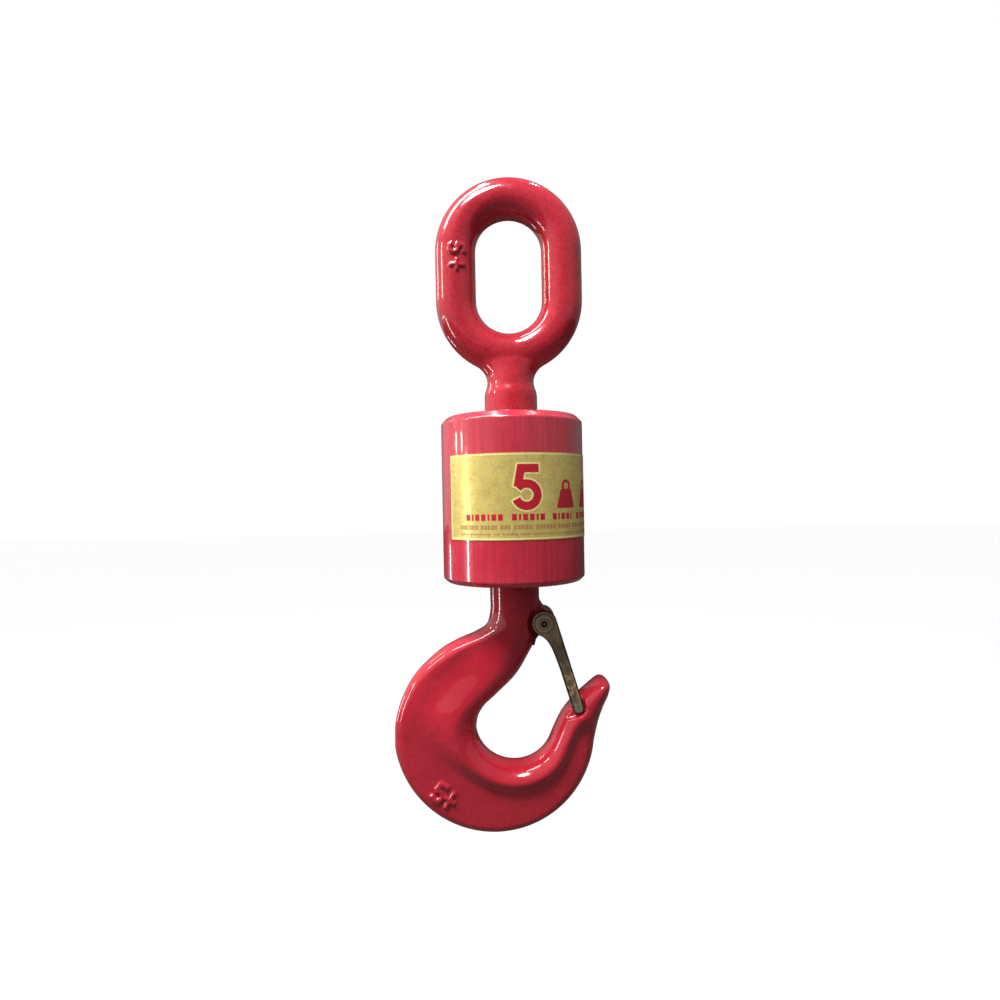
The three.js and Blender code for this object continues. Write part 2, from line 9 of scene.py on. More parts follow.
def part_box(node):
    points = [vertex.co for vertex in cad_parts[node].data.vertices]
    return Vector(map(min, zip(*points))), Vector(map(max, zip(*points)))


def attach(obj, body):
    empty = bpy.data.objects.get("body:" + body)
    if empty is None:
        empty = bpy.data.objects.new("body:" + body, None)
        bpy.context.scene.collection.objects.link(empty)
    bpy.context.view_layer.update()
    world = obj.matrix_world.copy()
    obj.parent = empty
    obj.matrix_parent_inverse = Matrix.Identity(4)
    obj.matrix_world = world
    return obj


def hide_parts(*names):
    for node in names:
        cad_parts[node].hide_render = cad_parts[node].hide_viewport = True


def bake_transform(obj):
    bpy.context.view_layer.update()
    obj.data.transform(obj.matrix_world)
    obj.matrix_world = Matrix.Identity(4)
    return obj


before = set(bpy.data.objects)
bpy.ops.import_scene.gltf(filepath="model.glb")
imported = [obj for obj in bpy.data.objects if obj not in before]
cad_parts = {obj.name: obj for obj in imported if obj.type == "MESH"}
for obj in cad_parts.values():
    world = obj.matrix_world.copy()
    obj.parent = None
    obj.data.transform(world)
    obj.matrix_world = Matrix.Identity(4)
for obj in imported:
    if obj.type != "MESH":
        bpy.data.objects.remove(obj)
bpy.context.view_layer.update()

# The looks of the swivel hook. Shapes are worked out in millimetres in the part's own frame (origin at
# the inside top of the eye, +Z up, +X towards the hook's tip) and become metres when a mesh is made.
MM = 0.001


def cad_span(node, axis):
    """The lowest and the highest place of a CAD node along an axis, in millimetres."""
    low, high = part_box(node)
    return low[axis] / MM, high[axis] / MM


# ---- driving dimensions, from the frame ----

HOUSING_RADIUS = cad_span("upper_shell", 0)[1]
HOUSING_MIDDLE, HOUSING_TOP = cad_span("upper_shell", 2)
HOUSING_BOTTOM = cad_span("lower_shell", 2)[0]
EYE_RIGHT, EYE_TOP = cad_span("eye_bolt", 0)[1], cad_span("eye_bolt", 2)[1]
BAR_RADIUS = EYE_TOP / 2
EYE_INNER_RADIUS = EYE_RIGHT - 2 * BAR_RADIUS
EYE_STRAIGHT = 28.0
LABEL_LOW, LABEL_HIGH = cad_span("rating_label", 2)
GAP = 0.3
END_WALL = 11.0
CAVITY_RADIUS = 30.0
JOIN_RADIUS = 35.0
JOIN_LENGTH = 12.5
EYE_SHANK_RADIUS = 15.0
HOOK_SHANK_RADIUS = 14.0
SEAL_RADIUS = 20.2
SEAL_DEPTH = 4.0
BUSH_WALL = 2.4
THREAD_RADIUS = 13.5
PITCH_RADIUS = 20.5
BALL_LOW, BALL_HIGH = cad_span("eye_ball_01", 2)
BALL_RADIUS = (BALL_HIGH - BALL_LOW) / 2
BALL_COUNT = 12
BEARING_RADIUS = 26.0
BEARING_HEIGHT = 16.0
WASHER_HEIGHT = 5.0
GROOVE_RADIUS = 4.9
NUT_FLATS = 46.0
NUT_HEIGHT = 15.0
CROSS_PIN_RADIUS = 3.0
PIVOT = Vector((15.8, 0.0, -229.2))
LATCH_TILT = radians(16.6)
LATCH_EYE_RADIUS = 7.3
LEG_INNER_EDGE = 0.9
LATCH_LENGTH = 54.0
LEG_INSIDE = 9.5
SHEET = 2.0
LATCH_PIN_RADIUS = 2.5
LUG_HALF = 4.3
LUG_RADIUS = 6.7
WIRE_RADIUS = 0.8
COIL_RADIUS = 4.4
POCKET_HALF = 8.6
EYE_RECESS_HALF = 7.6
CLEAR = 30.0

BEARING_START = END_WALL + GAP
NUT_START = BEARING_START + BEARING_HEIGHT + GAP
MIDDLE_OF_BEARING = BEARING_START + BEARING_HEIGHT / 2
NUT_END = NUT_START + NUT_HEIGHT
SHANK_END = NUT_END + 1
THREAD_RELIEF = 1.5


def level(side, depth):
    """A depth into the housing from its top (side 1, the eye's end) or its bottom (side -1)."""
    return HOUSING_TOP - depth if side > 0 else HOUSING_BOTTOM + depth


# ---- mesh tools ----

def linked(name, data):
    """A new object in the scene that holds the data."""
    thing = bpy.data.objects.new(name, data)
    bpy.context.scene.collection.objects.link(thing)
    return thing


def mesh_object(name, vertices, faces):
    """A smooth-shaded object from vertices in millimetres."""
    mesh = bpy.data.meshes.new(name)
    mesh.from_pydata([Vector(v) * MM for v in vertices], [], faces)
    mesh.validate()
    mesh.shade_smooth()
    return linked(name, mesh)


def from_bmesh(name, mesh):
    """A smooth-shaded object from a bmesh in metres, which is freed."""
    data = bpy.data.meshes.new(name)
    mesh.to_mesh(data)
    mesh.free()
    data.shade_smooth()
    return linked(name, data)


def turn(steps):
    """The angles of a full turn."""
    return [2 * pi * i / steps for i in range(steps)]


def loft(name, rings, closed=False):
    """A skin over rings of equal length, capped at its ends or closed on itself."""
    size = len(rings[0])
    vertices = [point for ring in rings for point in ring]
    faces = []
    for row in range(len(rings) if closed else len(rings) - 1):
        after = (row + 1) % len(rings)
        for i in range(size):
            j = (i + 1) % size
            faces.append((row * size + i, row * size + j, after * size + j, after * size + i))
    if not closed:
        last = (len(rings) - 1) * size
        faces.append(tuple(reversed(range(size))))
        faces.append(tuple(range(last, last + size)))
    return mesh_object(name, vertices, faces)


def turned(name, profile, steps=160):
    """A closed (radius, z) profile turned about the vertical axis."""
    area = sum(a[0] * b[1] - b[0] * a[1] for a, b in zip(profile, profile[1:] + profile[:1]))
    if area < 0:
        profile = profile[::-1]
    rings = [[(r * cos(angle), r * sin(angle), z) for r, z in profile] for angle in turn(steps)]
    return loft(name, rings, closed=True)


def bend(start, control, end, steps):
    """A curve from start to end, which leaves and arrives along the lines through the control point."""
    return [start * (1 - t) ** 2 + control * (2 * t * (1 - t)) + end * t ** 2
            for t in (i / steps for i in range(steps + 1))]


def softened(corners, radius=0.4, steps=3, hold=0.3):
    """The closed outline with each corner rounded off; a corner (a, b, r) has its own radius r.
    A point just past each end of a round keeps the long straight beside it flat in the shading."""
    outline = []
    count = len(corners)
    for i, corner in enumerate(corners):
        here = Vector(corner[:2])
        before = Vector(corners[i - 1][:2]) - here
        after = Vector(corners[(i + 1) % count][:2]) - here
        wanted = corner[2] if len(corner) > 2 else radius
        reach = min(wanted, before.length * 0.45, after.length * 0.45)
        backward, forward = before.normalized(), after.normalized()
        held = hold > 0 and wanted > 0
        if held and before.length > 3 * (reach + hold):
            outline.append(tuple(here + backward * (reach + hold)))
        round_off = bend(here + backward * reach, here, here + forward * reach, steps)
        outline += [tuple(point) for point in round_off]
        if held and after.length > 3 * (reach + hold):
            outline.append(tuple(here + forward * (reach + hold)))
    return outline


def rod(name, radius, start, end, chamfer=0.4, sides=48):
    """A round bar with chamfered ends along the line from start to end."""
    start, end = Vector(start), Vector(end)
    along = (end - start).normalized()
    across = along.orthogonal().normalized()
    other = along.cross(across)
    length = (end - start).length
    stations = [(0, radius - chamfer), (chamfer, radius)]
    stations += [(length - chamfer, radius), (length, radius - chamfer)]
    rings = []
    for distance, reach in stations:
        centre = start + along * distance
        rings.append([centre + across * reach * cos(a) + other * reach * sin(a) for a in turn(sides)])
    return loft(name, rings)


def plate(name, outline, near, far):
    """An outline of (x, z) points as a plate from y = near to y = far."""
    size = len(outline)
    vertices = [(x, near, z) for x, z in outline] + [(x, far, z) for x, z in outline]
    faces = [tuple(range(size)), tuple(reversed(range(size, 2 * size)))]
    for i in range(size):
        j = (i + 1) % size
        faces.append((i, i + size, j + size, j))
    return face_outwards(mesh_object(name, vertices, faces))


def face_outwards(thing):
    mesh = bmesh.new()
    mesh.from_mesh(thing.data)
    bmesh.ops.recalc_face_normals(mesh, faces=mesh.faces)
    mesh.to_mesh(thing.data)
    mesh.free()
    return thing


def apply_modifiers(thing):
    """Puts the result of the object's modifiers into its mesh."""
    graph = bpy.context.evaluated_depsgraph_get()
    graph.update()
    mesh = bpy.data.meshes.new_from_object(thing.evaluated_get(graph))
    thing.modifiers.clear()
    thing.data = mesh
    mesh.shade_smooth()


def combine(thing, others, operation):
    """Joins (UNION), cuts (DIFFERENCE) or keeps the common part (INTERSECT) with each of the others."""
    for other in others:
        step = thing.modifiers.new("combine", "BOOLEAN")
        step.operation = operation
        step.solver = "EXACT"
        step.object = other
        apply_modifiers(thing)
        bpy.data.objects.remove(other)
    return thing


def join(thing, *others):
    return combine(thing, others, "UNION")


def cut(thing, *others):
    return combine(thing, others, "DIFFERENCE")


def fused(thing, voxel, rounds):
    """One even skin over the whole solid, with its creases softened as a forging's are."""
    skin = thing.modifiers.new("skin", "REMESH")
    skin.mode = "VOXEL"
    skin.voxel_size = voxel * MM
    soft = thing.modifiers.new("soft", "SMOOTH")
    soft.factor = 0.5
    soft.iterations = rounds
    apply_modifiers(thing)
    return thing


def crisp(thing, angle=35):
    """Keeps edges sharper than the angle sharp in the shading."""
    thing.data.set_sharp_from_angle(angle=radians(angle))
    return thing


def spline(points, steps):
    """A smooth curve through the points, at even distances along them, with its ends held."""
    points = [Vector(point) for point in points]
    spans = [(after - before).length for before, after in zip(points, points[1:])]
    chords = [(after - before) / span for before, after, span in zip(points, points[1:], spans)]
    slopes = [chords[0]]
    for before, after, span, next_span in zip(chords, chords[1:], spans, spans[1:]):
        slopes.append(before.lerp(after, span / (span + next_span)))
    slopes.append(chords[-1])
    reach = [0.0, *accumulate(spans)]
    places = []
    for step in range(steps + 1):
        place = reach[-1] * step / steps
        i = max(k for k in range(len(spans)) if reach[k] <= place)
        t = (place - reach[i]) / spans[i]
        ends = points[i] * (2 * t ** 3 - 3 * t ** 2 + 1) + points[i + 1] * (3 * t ** 2 - 2 * t ** 3)
        leaving = slopes[i] * spans[i] * (t ** 3 - 2 * t ** 2 + t)
        places.append(ends + leaving + slopes[i + 1] * spans[i] * (t ** 3 - t ** 2))
    return places


def smoothstep(value, low, high):
    t = min(max((value - low) / (high - low), 0), 1)
    return t * t * (3 - 2 * t)


def mix(a, b, share):
    return a + (b - a) * share


def polar(x, z, radius, angle):
    return Vector((x + radius * cos(angle), z + radius * sin(angle)))


def on_circle(circle, degrees):
    return polar(*circle, radians(degrees))


def arc(circle, start, end, steps):
    return [on_circle(circle, start + (end - start) * i / steps) for i in range(steps + 1)]


def ribbon(path, width, grow=0.0):
    """The outline of a stroke of the given width along flat points, square at its ends."""
    path = [Vector(point) for point in path]
    path[0] -= (path[1] - path[0]).normalized() * grow
    path[-1] += (path[-1] - path[-2]).normalized() * grow
    left, right = [], []
    for i, here in enumerate(path):
        arrive = (here - path[i - 1]).normalized() if i else (path[1] - here).normalized()
        leave = (path[i + 1] - here).normalized() if i + 1 < len(path) else arrive
        first, second = Vector((-arrive.y, arrive.x)), Vector((-leave.y, leave.x))
        side = (first + second) / (1 + first.dot(second)) * (width / 2 + grow)
        left.append(here + side)
        right.append(here - side)
    return left + right[::-1]


def figure_five(name, height, near, far, grow=0.0):
    """The numeral 5, centred on the origin in the XZ plane: a bar with a stem, and a bowl."""
    drawn_width, drawn_height, stroke = 15.0, 23.2, 4.3
    unit = height / drawn_height

    def part(path):
        centred = [((x - drawn_width / 2) * unit, (z - drawn_height / 2) * unit) for x, z in path]
        return plate(name, ribbon(centred, stroke * unit, grow), near, far)

    bowl = arc((7.3, 7.75, 5.75), 143, -158, 30)
    return join(part([(13.9, 21.4), (4.5, 21.4), (2.7, 11.9)]), part(bowl))


def cross_mark(name, height, near, far):
    """A plain upright cross, centred on the origin in the XZ plane."""
    stroke = height * 0.17
    upright = plate(name, ribbon([(0, -height / 2), (0, height / 2)], stroke), near, far)
    arms = plate(name, ribbon([(-height * 0.36, 0), (height * 0.36, 0)], stroke), near, far)
    return join(upright, arms)


def moved(thing, matrix):
    thing.data.transform(matrix)
    return thing


def shift(x, y, z):
    return Matrix.Translation(Vector((x, y, z)) * MM)


# ---- materials ----

class Nodes:
    """A node tree, with short ways to add the nodes that the materials and the room share."""

    def __init__(self, tree):
        self.tree = tree

    def feed(self, node, inputs):
        """Sets a node's inputs to values, or links them to the outputs of others."""
        for key, value in inputs.items():
            if isinstance(value, bpy.types.NodeSocket):
                self.tree.links.new(value, node.inputs[key])
            else:
                node.inputs[key].default_value = value

    def node(self, kind, inputs=None, **settings):
        made = self.tree.nodes.new(kind)
        for key, value in settings.items():
            setattr(made, key, value)
        self.feed(made, inputs or {})
        return made

    def range(self, value, low, high, to_low=0.0, to_high=1.0):
        ends = {"From Min": low, "From Max": high, "To Min": to_low, "To Max": to_high}
        made = self.node("ShaderNodeMapRange", {"Value": value, **ends}, interpolation_type="SMOOTHSTEP")
        return made.outputs["Result"]

    def times(self, a, b, operation="MULTIPLY"):
        """The product of two values, held between 0 and 1."""
        made = self.node("ShaderNodeMath", {0: a, 1: b}, operation=operation, use_clamp=True)
        return made.outputs["Value"]

    def plus(self, a, b):
        return self.times(a, b, "ADD")


class Shading(Nodes):
    """A material that starts as one colour, which masks then stain with others."""

    def __init__(self, name, tone):
        self.material = bpy.data.materials.new(name)
        self.material.use_nodes = True
        super().__init__(self.material.node_tree)
        self.shader = self.tree.nodes["Principled BSDF"]
        self.coordinates = self.node("ShaderNodeTexCoord")
        self.where = self.coordinates.outputs["Object"]
        self.body = colour(*tone)
        self.normal = None

    def stain(self, mask, tone, amount=1):
        """Takes the colour towards a tone where the mask is 1."""
        share = mask if amount == 1 else self.times(mask, amount)
        inputs = {"Factor": share, 6: self.body, 7: colour(*tone)}
        self.body = self.node("ShaderNodeMix", inputs, data_type="RGBA").outputs[2]

    def stretched(self, x, y, z):
        """The object's own coordinates, stretched along its axes."""
        return self.node("ShaderNodeMapping", {"Vector": self.where, "Scale": (x, y, z)}).outputs["Vector"]

    def axes(self, vector):
        """The x, y and z of a vector."""
        return self.node("ShaderNodeSeparateXYZ", {"Vector": vector}).outputs

    def noise(self, size, detail=3.0, rough=0.55, where=None):
        """Noise with features of about the given size in millimetres."""
        inputs = {"Vector": where or self.where, "Scale": 1 / (size * MM)}
        made = self.node("ShaderNodeTexNoise", {**inputs, "Detail": detail, "Roughness": rough})
        return made.outputs["Fac"]

    def edges(self, low, high):
        """A mask from how far a place stands out: corners are below 0.5 and outward edges above it."""
        return self.range(self.node("ShaderNodeNewGeometry").outputs["Pointiness"], low, high)

    def bump(self, height, strength, depth):
        """Adds bumps of a depth in millimetres to those that the surface has already."""
        inputs = {"Strength": strength, "Distance": depth * MM, "Height": height}
        if self.normal:
            inputs["Normal"] = self.normal
        self.normal = self.node("ShaderNodeBump", inputs).outputs["Normal"]

    def finish(self, roughness, metallic=0.0):
        self.feed(self.shader, {"Base Color": self.body, "Roughness": roughness, "Metallic": metallic})
        if self.normal:
            self.feed(self.shader, {"Normal": self.normal})
        return self.material


def colour(red, green, blue):
    """A colour given as it looks on a screen, 0 to 255, in the linear values that shaders use."""
    def linear(value):
        value /= 255
        return value / 12.92 if value <= 0.04045 else ((value + 0.055) / 1.055) ** 2.4
    return (linear(red), linear(green), linear(blue), 1.0)


def red_enamel(name, deep, pale, grit, lump_size, lump_depth, gloss, brushed=False):
    """Gloss enamel: uneven depth of colour, orange peel, painted shade darkening its corners and chips on
    its edges.
    Brushed enamel has upright strokes instead of the grit and the painted corner shade."""
    s = Shading(name, deep)
    s.stain(s.range(s.noise(26, 4), 0.3, 0.7), pale)
    s.stain(s.range(s.noise(3.2, 6, 0.7), 0.42, 0.72), (160, 26, 40), 0.3)
    if not brushed:
        s.stain(s.range(s.noise(1.2, 5, 0.75), 0.44, 0.62), (118, 26, 34), grit)
        # painted shade: corners and creases are darkened where shade would fall
        s.stain(s.edges(0.475, 0.44), (36, 10, 13), 0.85)
    chips = s.times(s.edges(0.54, 0.6), s.range(s.noise(1.8, 5, 0.7), 0.57, 0.63))
    s.stain(chips, (84, 62, 58))
    if brushed:
        s.stain(s.range(s.noise(1.9, 4, 0.65, s.stretched(1, 1, 0.03)), 0.4, 0.66), (172, 38, 54), 0.6)
    smear = s.range(s.noise(9, 5, 0.65), 0.35, 0.75, 0.18, 0.32)
    s.bump(s.noise(lump_size, 3, 0.5), 1.0, lump_depth)
    s.bump(s.noise(2.4, 2, 0.5), 0.6, lump_depth * 0.25)
    s.bump(s.noise(1.0, 2, 0.5), 0.35, 0.014 if brushed else 0.03)
    s.feed(s.shader, {"Coat Weight": 1.0, "Coat Roughness": 0.04, "Specular IOR Level": gloss})
    return s.finish(s.plus(smear, s.times(chips, 0.4)), s.times(chips, 0.6))


def gold_foil():
    """Satin metallic label foil with a speckled face and faint creases."""
    s = Shading("gold_foil_label", (232, 216, 126))
    s.stain(s.range(s.noise(9, 4, 0.6), 0.3, 0.7), (222, 200, 112))
    s.stain(s.range(s.noise(5, 6, 0.75), 0.47, 0.66), (206, 164, 92), 0.45)
    s.stain(s.range(s.noise(0.45, 3, 0.7), 0.5, 0.68), (176, 156, 84), 0.35)
    s.stain(s.range(s.noise(1.3, 7, 0.8), 0.5, 0.64), (190, 144, 82), 0.5)
    s.bump(s.noise(14, 2, 0.4), 0.6, 0.04)
    s.bump(s.noise(0.4, 2), 0.2, 0.01)
    return s.finish(s.range(s.noise(4, 4), 0.3, 0.7, 0.24, 0.36), 0.3)


def printed(name, tone, worn):
    """Screen-printed ink on the foil, thinner in places."""
    s = Shading(name, tone)
    s.stain(s.range(s.noise(1.3, 5, 0.7), 0.45, 0.75), worn, 0.3)
    s.bump(s.noise(0.5, 2), 0.2, 0.01)
    return s.finish(s.range(s.noise(2, 3), 0.3, 0.7, 0.35, 0.5))


def sheet_steel():
    """Bronze-brown passivated sheet: grain along the latch, painted light making it paler and warmer above,
    a band of golden specks as a painted sheen, greenish low down, painted shade darkening the rolled edges
    of its legs, and rubbed corners. Heights are places in the part's frame, in metres."""
    s = Shading("latch_sheet_steel", (142, 120, 95))
    place, facing = s.axes(s.where), s.axes(s.coordinates.outputs["Normal"])
    grain = s.noise(0.5, 4, 0.6, s.stretched(1, 1, 0.12))
    s.stain(s.range(s.noise(5, 5, 0.65), 0.38, 0.66), (110, 92, 73))
    # painted light: the upper part of the latch is made paler, as if lit more
    s.stain(s.range(place["Z"], -0.243, -0.234), (214, 184, 150), 0.55)
    # painted sheen: golden specks in a band across the leg stand in for a highlight
    middle = s.times(s.range(place["Z"], -0.246, -0.262), s.range(s.noise(3, 4), 0.45, 0.6))
    s.stain(middle, (206, 184, 122), 0.8)
    s.stain(s.range(place["Z"], -0.268, -0.277), (120, 136, 114), 0.85)
    s.stain(s.range(grain, 0.35, 0.7), (78, 64, 50), 0.5)
    # painted shade: the sideways-facing rolled edge faces of the legs are darkened almost to black
    rolled = s.range(s.times(facing["Y"], facing["Y"]), 0.92, 0.6)
    on_legs = s.range(s.times(place["Y"], place["Y"]), 0.0101 ** 2, 0.0104 ** 2)
    s.stain(s.times(rolled, on_legs), (22, 17, 14), 0.92)
    s.stain(s.times(s.edges(0.58, 0.66), s.range(s.noise(2.4, 5, 0.7), 0.5, 0.62)), (186, 168, 126), 0.6)
    s.bump(grain, 0.35, 0.02)
    return s.finish(s.range(s.noise(3, 5, 0.7), 0.3, 0.7, 0.32, 0.5), 0.35)


def metal(name, light, dark, rough_low, rough_high):
    """Machined or drawn metal with oil film and fine scratches."""
    s = Shading(name, light)
    s.stain(s.range(s.noise(6, 5, 0.6), 0.3, 0.7), dark)
    scratches = s.range(s.noise(0.4, 6, 0.8, s.stretched(1, 1, 0.2)), 0.5, 0.75)
    s.stain(scratches, dark, 0.35)
    s.bump(scratches, 0.15, 0.01)
    return s.finish(s.range(s.noise(2.5, 5, 0.7), 0.3, 0.7, rough_low, rough_high), 1.0)


def black_rubber():
    """Nitrile rubber with a dusty bloom and a mould grain."""
    s = Shading("nitrile_rubber", (26, 26, 28))
    s.stain(s.range(s.noise(3, 6, 0.7), 0.45, 0.75), (62, 58, 56))
    s.bump(s.noise(0.4, 2), 0.3, 0.02)
    return s.finish(s.range(s.noise(2, 4), 0.3, 0.7, 0.55, 0.75))


EYE_RED = red_enamel("eye_red_enamel", (188, 35, 52), (204, 44, 62),
                     grit=0.5, lump_size=7, lump_depth=0.26, gloss=0.2)
HOOK_RED = red_enamel("hook_red_enamel", (184, 33, 50), (198, 41, 59),
                      grit=0.2, lump_size=9, lump_depth=0.26, gloss=0.2)
# the housing's red is the same enamel made paler and pinker: a painted sheen
TURNED_RED = red_enamel("turned_red_enamel", (204, 48, 68), (214, 56, 76),
                        grit=0, lump_size=14, lump_depth=0.05, gloss=0.45, brushed=True)
GOLD = gold_foil()
RED_INK = printed("red_ink", (190, 18, 44), (206, 60, 62))
PALE_INK = printed("pale_yellow_ink", (238, 228, 150), (220, 204, 120))
BROWN_INK = printed("brown_ink", (176, 122, 72), (204, 170, 96))
LATCH_STEEL = sheet_steel()
BRIGHT_STEEL = metal("bright_spring_steel", (196, 196, 198), (120, 118, 116), 0.22, 0.4)
GROUND_STEEL = metal("ground_bearing_steel", (212, 214, 218), (160, 160, 164), 0.08, 0.2)
BLACK_STEEL = metal("blackened_steel", (74, 72, 72), (38, 37, 38), 0.3, 0.5)
BRONZE = metal("machined_bronze", (198, 150, 92), (150, 104, 58), 0.2, 0.38)
RUBBER = black_rubber()


def dress(piece, material, body, slot, *nodes):
    """Gives a piece its material, its CAD body and the CAD nodes it stands for; the slot is not used."""
    piece.data.materials.clear()
    piece.data.materials.append(material)
    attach(piece, body)
    if nodes:
        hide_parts(*nodes)
    return piece


# ---- load eye ----

EYE_CENTRE_RADIUS = EYE_INNER_RADIUS + BAR_RADIUS
EYE_UPPER_CENTRE = -EYE_INNER_RADIUS
EYE_LOWER_CENTRE = EYE_UPPER_CENTRE - EYE_STRAIGHT
EYE_OUTER_BOTTOM = EYE_LOWER_CENTRE - EYE_CENTRE_RADIUS - BAR_RADIUS


def eye_loop():
    """The oblong ring: a half turn, a straight limb, a half turn and the other limb."""
    steps, straight_steps = 40, 8
    stations = []
    for centre, next_centre, start in ((EYE_UPPER_CENTRE, EYE_LOWER_CENTRE, 0.0),
                                       (EYE_LOWER_CENTRE, EYE_UPPER_CENTRE, pi)):
        stations += [(start + pi * i / steps, centre) for i in range(steps + 1)]
        limb = next_centre - centre
        stations += [(start + pi, centre + limb * i / straight_steps) for i in range(1, straight_steps)]
    rings = []
    for angle, middle in stations:
        ring = []
        for around_bar in turn(40):
            reach = EYE_CENTRE_RADIUS + BAR_RADIUS * cos(around_bar)
            ring.append((cos(angle) * reach, -BAR_RADIUS * sin(around_bar), sin(angle) * reach + middle))
        rings.append(ring)
    return face_outwards(loft("eye_loop", rings, closed=True))


def eye_neck():
    """Flattened where it leaves the ring, and round at the waist and below it."""
    base, shank = EYE_OUTER_BOTTOM, EYE_SHANK_RADIUS
    # (height, half the width, half the depth)
    stations = [
        (base + 14, 25.0, 9.5), (base + 9, 22.0, 11.0), (base + 4.6, 18.4, 11.7), (base + 1.4, 15.4, 12.2),
        (base - 1.6, 13.8, 12.8), (base - 4.8, 13.15, 13.15), (base - 7.4, 13.5, 13.5),
        (base - 10.0, 14.5, 14.5), (base - 12.4, shank, shank), (base - 16.0, shank, shank),
        (level(1, END_WALL + THREAD_RELIEF), shank, shank),
    ]
    rings = [[(wide * cos(a), deep * sin(a), z) for a in turn(64)] for z, wide, deep in spline(stations, 60)]
    return face_outwards(loft("eye_neck", rings))


def shank_rod(name, radius, side, start, end, chamfer=0.4, sides=96):
    """A round bar on the shanks' axis, between two depths into the housing."""
    return rod(name, radius, (0, 0, level(side, start)), (0, 0, level(side, end)), chamfer, sides)


def threaded_end(side, name):
    return shank_rod(name, THREAD_RADIUS, side, END_WALL - 1, SHANK_END, chamfer=0.8, sides=64)


def cross_hole(side):
    z = level(side, NUT_START + NUT_HEIGHT / 2)
    return rod("cross_hole", CROSS_PIN_RADIUS + GAP, (-60, 0, z), (60, 0, z))


def eye_marks():
    """Raised marks on the left limb, reading downwards, with their faces following the round bar."""
    near, far = -18, -4
    centre = -EYE_CENTRE_RADIUS
    reading_down = Matrix.Rotation(radians(90), 4, "Y")
    figure, cross = figure_five("eye_figure", 10, near, far), cross_mark("eye_cross", 9, near, far)
    for mark, z in ((figure, -19.8), (cross, -29.1)):
        moved(mark, shift(centre + 1.6, 0, z) @ reading_down)
        limb = rod("raised_limb", BAR_RADIUS + 1.15, (centre, 0, -60), (centre, 0, 0), sides=96)
        combine(mark, [limb], "INTERSECT")
    return [figure, cross]


def make_eye():
    eye = eye_loop()
    eye.name = "eye_forging"
    join(eye, eye_neck())
    fused(eye, voxel=0.8, rounds=16)
    join(eye, threaded_end(1, "eye_thread"), *eye_marks())
    cut(eye, cross_hole(1))
    fused(eye, voxel=0.59, rounds=4)
    dress(eye, EYE_RED, "eye", "red_paint", "eye_bolt")


# ---- housing ----

LOCK_SCREW_RADIUS = 3.0
LOCK_SCREW_LEVEL = HOUSING_MIDDLE + JOIN_LENGTH / 2
LOCK_SCREW_ANGLES = {"lock_screw_left": radians(-30), "lock_screw_right": radians(150)}


def outwards(angle, distance, z):
    """A place at an angle from the front towards +X."""
    return Vector((sin(angle) * distance, -cos(angle) * distance, z))


def lock_rod(name, radius, angle, start, end, sides=48):
    """A round bar on a lock screw's axis, between two distances from the housing's axis."""
    start, end = (outwards(angle, distance, LOCK_SCREW_LEVEL) for distance in (start, end))
    return rod(name, radius, start, end, sides=sides)


def lock_holes():
    return [lock_rod("lock_hole", LOCK_SCREW_RADIUS + GAP, angle, CAVITY_RADIUS - 2, HOUSING_RADIUS + 2)
            for angle in LOCK_SCREW_ANGLES.values()]


def end_corners(side, shank, chamfer):
    bore = shank + 2 * GAP + BUSH_WALL
    return [
        (HOUSING_RADIUS, level(side, chamfer), 0.7),
        (HOUSING_RADIUS - chamfer, level(side, 0), 1.3),
        (SEAL_RADIUS, level(side, 0), 0.5),
        (SEAL_RADIUS, level(side, SEAL_DEPTH), 0.2),
        (bore, level(side, SEAL_DEPTH), 0.2),
        (bore, level(side, END_WALL), 0.2),
        (CAVITY_RADIUS, level(side, END_WALL), 0.8),
    ]


def make_shells():
    seam = 0.04
    upper = turned("upper_shell_casing", softened([
        (HOUSING_RADIUS, HOUSING_MIDDLE, seam),
        *end_corners(1, EYE_SHANK_RADIUS, 3.7),
        (CAVITY_RADIUS, HOUSING_MIDDLE + JOIN_LENGTH + GAP, 0.3),
        (JOIN_RADIUS, HOUSING_MIDDLE + JOIN_LENGTH + GAP, 0.3),
        (JOIN_RADIUS, HOUSING_MIDDLE, 0.3),
    ]), 240)
    shoulder = HOUSING_MIDDLE - seam
    lower = turned("lower_shell_casing", softened([
        (CAVITY_RADIUS, HOUSING_MIDDLE + JOIN_LENGTH, 0.3),
        (JOIN_RADIUS - GAP, HOUSING_MIDDLE + JOIN_LENGTH, 0.3),
        (JOIN_RADIUS - GAP, shoulder, 0.2),
        (HOUSING_RADIUS, shoulder, seam),
        *end_corners(-1, HOOK_SHANK_RADIUS, 2.6),
    ]), 240)
    for shell, node in ((upper, "upper_shell"), (lower, "lower_shell")):
        cut(shell, *lock_holes())
        crisp(shell, 30)
        dress(shell, TURNED_RED, "housing", "red_paint", node)


def make_lock_screws():
    for node, angle in LOCK_SCREW_ANGLES.items():
        screw = lock_rod(node + "_body", LOCK_SCREW_RADIUS, angle, CAVITY_RADIUS + 0.5, HOUSING_RADIUS - 0.8)
        cut(screw, lock_rod("socket", 1.6, angle, HOUSING_RADIUS - 4, HOUSING_RADIUS + 1, sides=6))
        dress(crisp(screw), BLACK_STEEL, "housing", "dark_steel", node)


# ---- rating label ----

LABEL_START = radians(-56.5)
LABEL_SPAN = radians(240)
LABEL_RADIUS = HOUSING_RADIUS + 0.05
LABEL_THICK = 0.22
LABEL_MIDDLE = (LABEL_LOW + LABEL_HIGH) / 2
LABEL_FIGURE_HEIGHT = 23.2
LABEL_FIGURE_LOW = LABEL_MIDDLE - 7
LABEL_WEIGHT_HEIGHT = 15
INK = 0.04
# Where the numeral's middle, the weights' left edges and the rows of blocks are, in degrees from the front.
FIGURE_AT, WEIGHTS_AT, ROWS_AT = 9.5, (33.6, 62), -38.5


